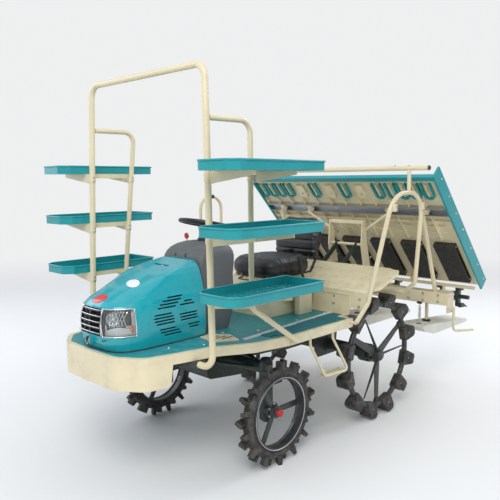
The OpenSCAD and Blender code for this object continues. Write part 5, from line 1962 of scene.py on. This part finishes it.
@dataclass
class PlatformTrim:
    """Belts' ribs and rollers, bolts, dividers' beads and flat braces of the seedling platform."""

    slope: float = 46.5
    foot: tuple[float, float] = (2214.0, 872.0)
    half_w: float = 902.0
    length: float = 1260.0

    def spot(self, x: float, s: float, n: float) -> Point:
        """Give a point x to the left, s up the slope and n off the face."""
        a = math.radians(self.slope)
        return (x, self.foot[0] - s * math.cos(a) + n * math.sin(a),
                self.foot[1] + s * math.sin(a) + n * math.cos(a))

    def bar(self, shape: Shape, x: tuple[float, float], s: tuple[float, float],
            n: tuple[float, float]) -> None:
        """Add a box that lies along the platform's own axes."""
        shape.add([Vector(self.spot(a, b, c)) for a in x for b in s for c in n], BOX_FACES)

    def underside(self) -> Point:
        """Give the way the platform's underside faces."""
        a = math.radians(self.slope)
        return (0.0, -math.sin(a), -math.cos(a))

    def belts(self) -> None:
        """Rib the feed belts across and put their rollers in."""
        ribs = Shape("belt_ribs", "platform", RUBBER_TRIM)
        rollers = Shape("belt_rollers", "platform", CHANNEL_GREY)
        for i in range(6):
            x = (i - 2.5) * 300.0
            for k in range(22):
                s = 80.0 + 19.6 * k
                self.bar(ribs, (x - 88, x + 88), (s, s + 5.0), (-47.0, -43.0))
            for s in (94.0, 496.0):
                rollers.tube([self.spot(x - 94, s, -20), self.spot(x + 94, s, -20)], 9.0, 14)
        ribs.build()
        rollers.build(smooth=40)

    def bolts(self) -> None:
        """Bolt the ledges, the channel and the side boards."""
        heads = Shape("platform_bolts", "platform", ZINC)
        for k in range(13):
            x = -840.0 + 140.0 * k
            for s in (781.0, 1219.0):
                heads.bolt(self.spot(x, s, -28.0), self.underside(), 11.0)
            heads.bolt(self.spot(x, 902.0, -4.3), self.underside(), 10.0)
        for s in (40, 220, 420, 640, 820, 1000, 1180):
            for side in (-1, 1):
                heads.bolt(self.spot(918.0 * side, s, 40.0), (side, 0, 0), 11.0)
        heads.build(bevel=0.4)
        beads = Shape("divider_beads", "platform", PLATFORM_CREAM)
        for i in range(1, 6):
            x = -self.half_w + 2 + i * (2 * self.half_w - 4) / 6
            beads.tube([self.spot(x, 4, 34), self.spot(x, self.length - 64, 34)], 3.6, 8)
        beads.build(smooth=50)

    def cross_braces(self) -> None:
        """Lay the flat braces on the sheet's underside between its ribs."""
        flats = Shape("platform_flats", "platform", PLATFORM_CREAM)
        for i in range(6):
            x = -750.0 + 300.0 * i
            self.bar(flats, (x - 70, x + 70), (640, 652), (-9.0, 0.5))
            self.bar(flats, (x - 70, x + 70), (706, 718), (-9.0, 0.5))
            self.bar(flats, (x - 6, x + 6), (560, 774), (-12.0, 0.5))
        flats.build(bevel=1.0)

    def build(self) -> None:
        """Build the platform's trim."""
        self.belts()
        self.bolts()
        self.cross_braces()


@dataclass
class PlantingTrim:
    """Case covers, bolts, float rods with their springs, and the drive shaft of the planting unit."""

    beam: tuple[float, float] = (1750.0, 815.0)
    shaft: tuple[float, float] = (1816.0, 753.0)
    hub: tuple[float, float] = (2282.0, 738.0)
    rows: tuple[float, ...] = (-600.0, 0.0, 600.0)

    def cases(self) -> None:
        """Bolt the covers of the planting cases, and ring their shafts."""
        heads = Shape("case_bolts", "planting_unit", ZINC)
        covers = Shape("case_covers", "planting_unit", PLANTER_METAL)
        for x in self.rows:
            for side in (-1, 1):
                face = x + side * 34.0
                covers.turned([(19, -1), (42, -1), (42, 4), (38, 6), (19, 6)],
                              (face, self.hub[0], self.hub[1]), (side, 0, 0), 32)
                for k in range(6):
                    a = math.radians(60 * k)
                    heads.bolt((face + side * 4, self.hub[0] + 34 * math.cos(a),
                                self.hub[1] + 34 * math.sin(a)),
                               (side, 0, 0), 8.0, washer=False)
                for k in range(4):
                    y = 1830.0 + 110.0 * k
                    heads.bolt((face, y, 800.0 - 14.0 * k), (side, 0, 0), 10.0)
                    heads.bolt((face, y, 768.0 - 14.0 * k), (side, 0, 0), 10.0)
        covers.build(smooth=40)
        heads.build(bevel=0.3)

    def float_rods(self) -> None:
        """Build the floats' brackets, adjusting rods and springs."""
        rods = Shape("float_rods", "planting_unit", ZINC)
        clips = Shape("float_brackets", "planting_unit", BLACK_PAINT)
        for x in self.rows:
            rods.tube([(x + 26, 1690, 594), (x + 26, 1700, 760)], 4.5, 10)
            coil = [(x + 26 + 11 * math.cos(k * 0.7), 1695 + 11 * math.sin(k * 0.7), 640.0 + 1.05 * k)
                    for k in range(86)]
            rods.tube(coil, 1.9, 6)
            clips.box((x + 8, 1676, 580), (x + 40, 1714, 594))
            clips.box((x + 4, 1690, 754), (x + 40, 1712, 772))
            clips.box((x - 30, 1846, 580), (x + 30, 1884, 594))
        rods.build(smooth=50)
        clips.build(bevel=1.0)

    def beam_bolts(self) -> None:
        """Bolt the beam's front, its end brackets and the mast."""
        heads = Shape("beam_bolts", "planting_unit", ZINC)
        for k in range(13):
            x = -780.0 + 130.0 * k
            for dz in (26, -26):
                heads.bolt((x, self.beam[0] - 48, self.beam[1] + dz), (0, -1, 0), 12.0)
        for side in (-1, 1):
            for y, z in ((1726, 740), (1796, 740), (1726, 846), (1796, 846)):
                heads.bolt((858.0 * side, y, z), (side, 0, 0), 14.0)
            for y, z in ((1755, 900), (1668, 1000), (1668, 1100), (1668, 1200), (1668, 1300)):
                heads.bolt((172.0 * side, y, z), (side, 0, 0), 13.0)
        heads.build(bevel=0.4)

    def drive_shaft(self) -> None:
        """Run the drive shaft behind the beam, in its collars."""
        y, z = self.shaft
        tube = Shape("drive_shaft_tubes", "planting_unit", BLACK_PAINT)
        tube.tube([(-700, y, z), (700, y, z)], 13.0, 16)
        tube.build(smooth=50)
        collars = Shape("drive_shaft_collars", "planting_unit", PLANTER_METAL)
        for x in (-560, -300, -40, 40, 300, 560):
            collars.turned([(0, -16), (21, -16), (21, 16), (0, 16)], (x, y, z), (1, 0, 0), 20)
            collars.box((x - 10, y - 20, z - 12), (x + 10, y + 4, z + 16))
        collars.build(bevel=1.0)

    def build(self) -> None:
        """Build the planting unit's trim."""
        self.cases()
        self.float_rods()
        self.beam_bolts()
        self.drive_shaft()


@dataclass
class ChassisTrim:
    """Bolts on the frame and the axle cases, pin ends and the steps' treads."""

    def frame_bolts(self) -> None:
        """Bolt the frame's members, the king pin housings and the rear axle."""
        heads = Shape("frame_bolts", "chassis", ZINC)
        for y in (-541, 130, 700):
            for dy in (-10, 10):
                heads.bolt((300, y + dy, 708), (0, 0, -1), 13.0)
        for y in (-620, -400, -100, 300, 560, 900, 1080):
            heads.bolt((215, y, 676), (1, 0, 0), 14.0)
        for k in range(6):
            a = math.radians(60 * k + 30)
            heads.bolt((504 + 36 * math.cos(a), 36 * math.sin(a), 632), (0, 0, 1), 9.0, washer=False)
            heads.bolt((552.0, 1095 + 56 * math.cos(a), 460 + 56 * math.sin(a)), (1, 0, 0), 10.0,
                       washer=False)
        heads.mirrored()
        heads.build(bevel=0.4)
        ends = Shape("link_pin_heads", "chassis", ZINC)
        for y, z in ((1050, 600), (1000, 800)):
            ends.turned([(0, -2), (17, -2), (17, 3), (14, 5), (0, 5)], (165, y, z), (1, 0, 0), 24)
        ends.mirrored()
        ends.build(smooth=50)

    def treads(self) -> None:
        """Press anti-slip bars into the side steps."""
        bars = Shape("step_treads", "chassis", CREAM_PAINT)
        for k in range(8):
            y = 366.0 + 27.0 * k
            bars.box((654, y, 491), (706, y + 7, 495.5))
        bars.mirrored()
        bars.build(bevel=0.8)

    def build(self) -> None:
        """Build the chassis's trim."""
        self.frame_bolts()
        self.treads()


def main() -> None:
    """Build every sub-assembly and the studio."""
    logging.basicConfig(level=logging.INFO, format="%(name)s %(message)s")
    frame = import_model()
    Studio().build()
    Frame(frame["nodes"]).build()
    parts = [
        SeatPad("seat_cushion_pad", "seat_cushion", CUSHION_RINGS, (470.0, 560.0, 650.0, 740.0),
                channel_axis=1),
        SeatPad("seat_back_pad", "seat_backrest", BACKREST_RINGS, (1230.0, 1300.0, 1370.0),
                channel_axis=2),
        BonnetTrim(), GrilleTrim(), HeadlampUnit(Side.LEFT), HeadlampUnit(Side.RIGHT),
        DashHood(), WheelTrim(), SeatBase(), Console(), FloorTrim(), CoverTrim(), TubeTrim(),
        FrontWheelTrim(Side.LEFT), FrontWheelTrim(Side.RIGHT),
        RearWheelTrim(Side.LEFT), RearWheelTrim(Side.RIGHT),
        PlatformTrim(), PlantingTrim(), ChassisTrim(),
    ]
    for part in parts:
        part.build()


if __name__ == "__main__":
    main()
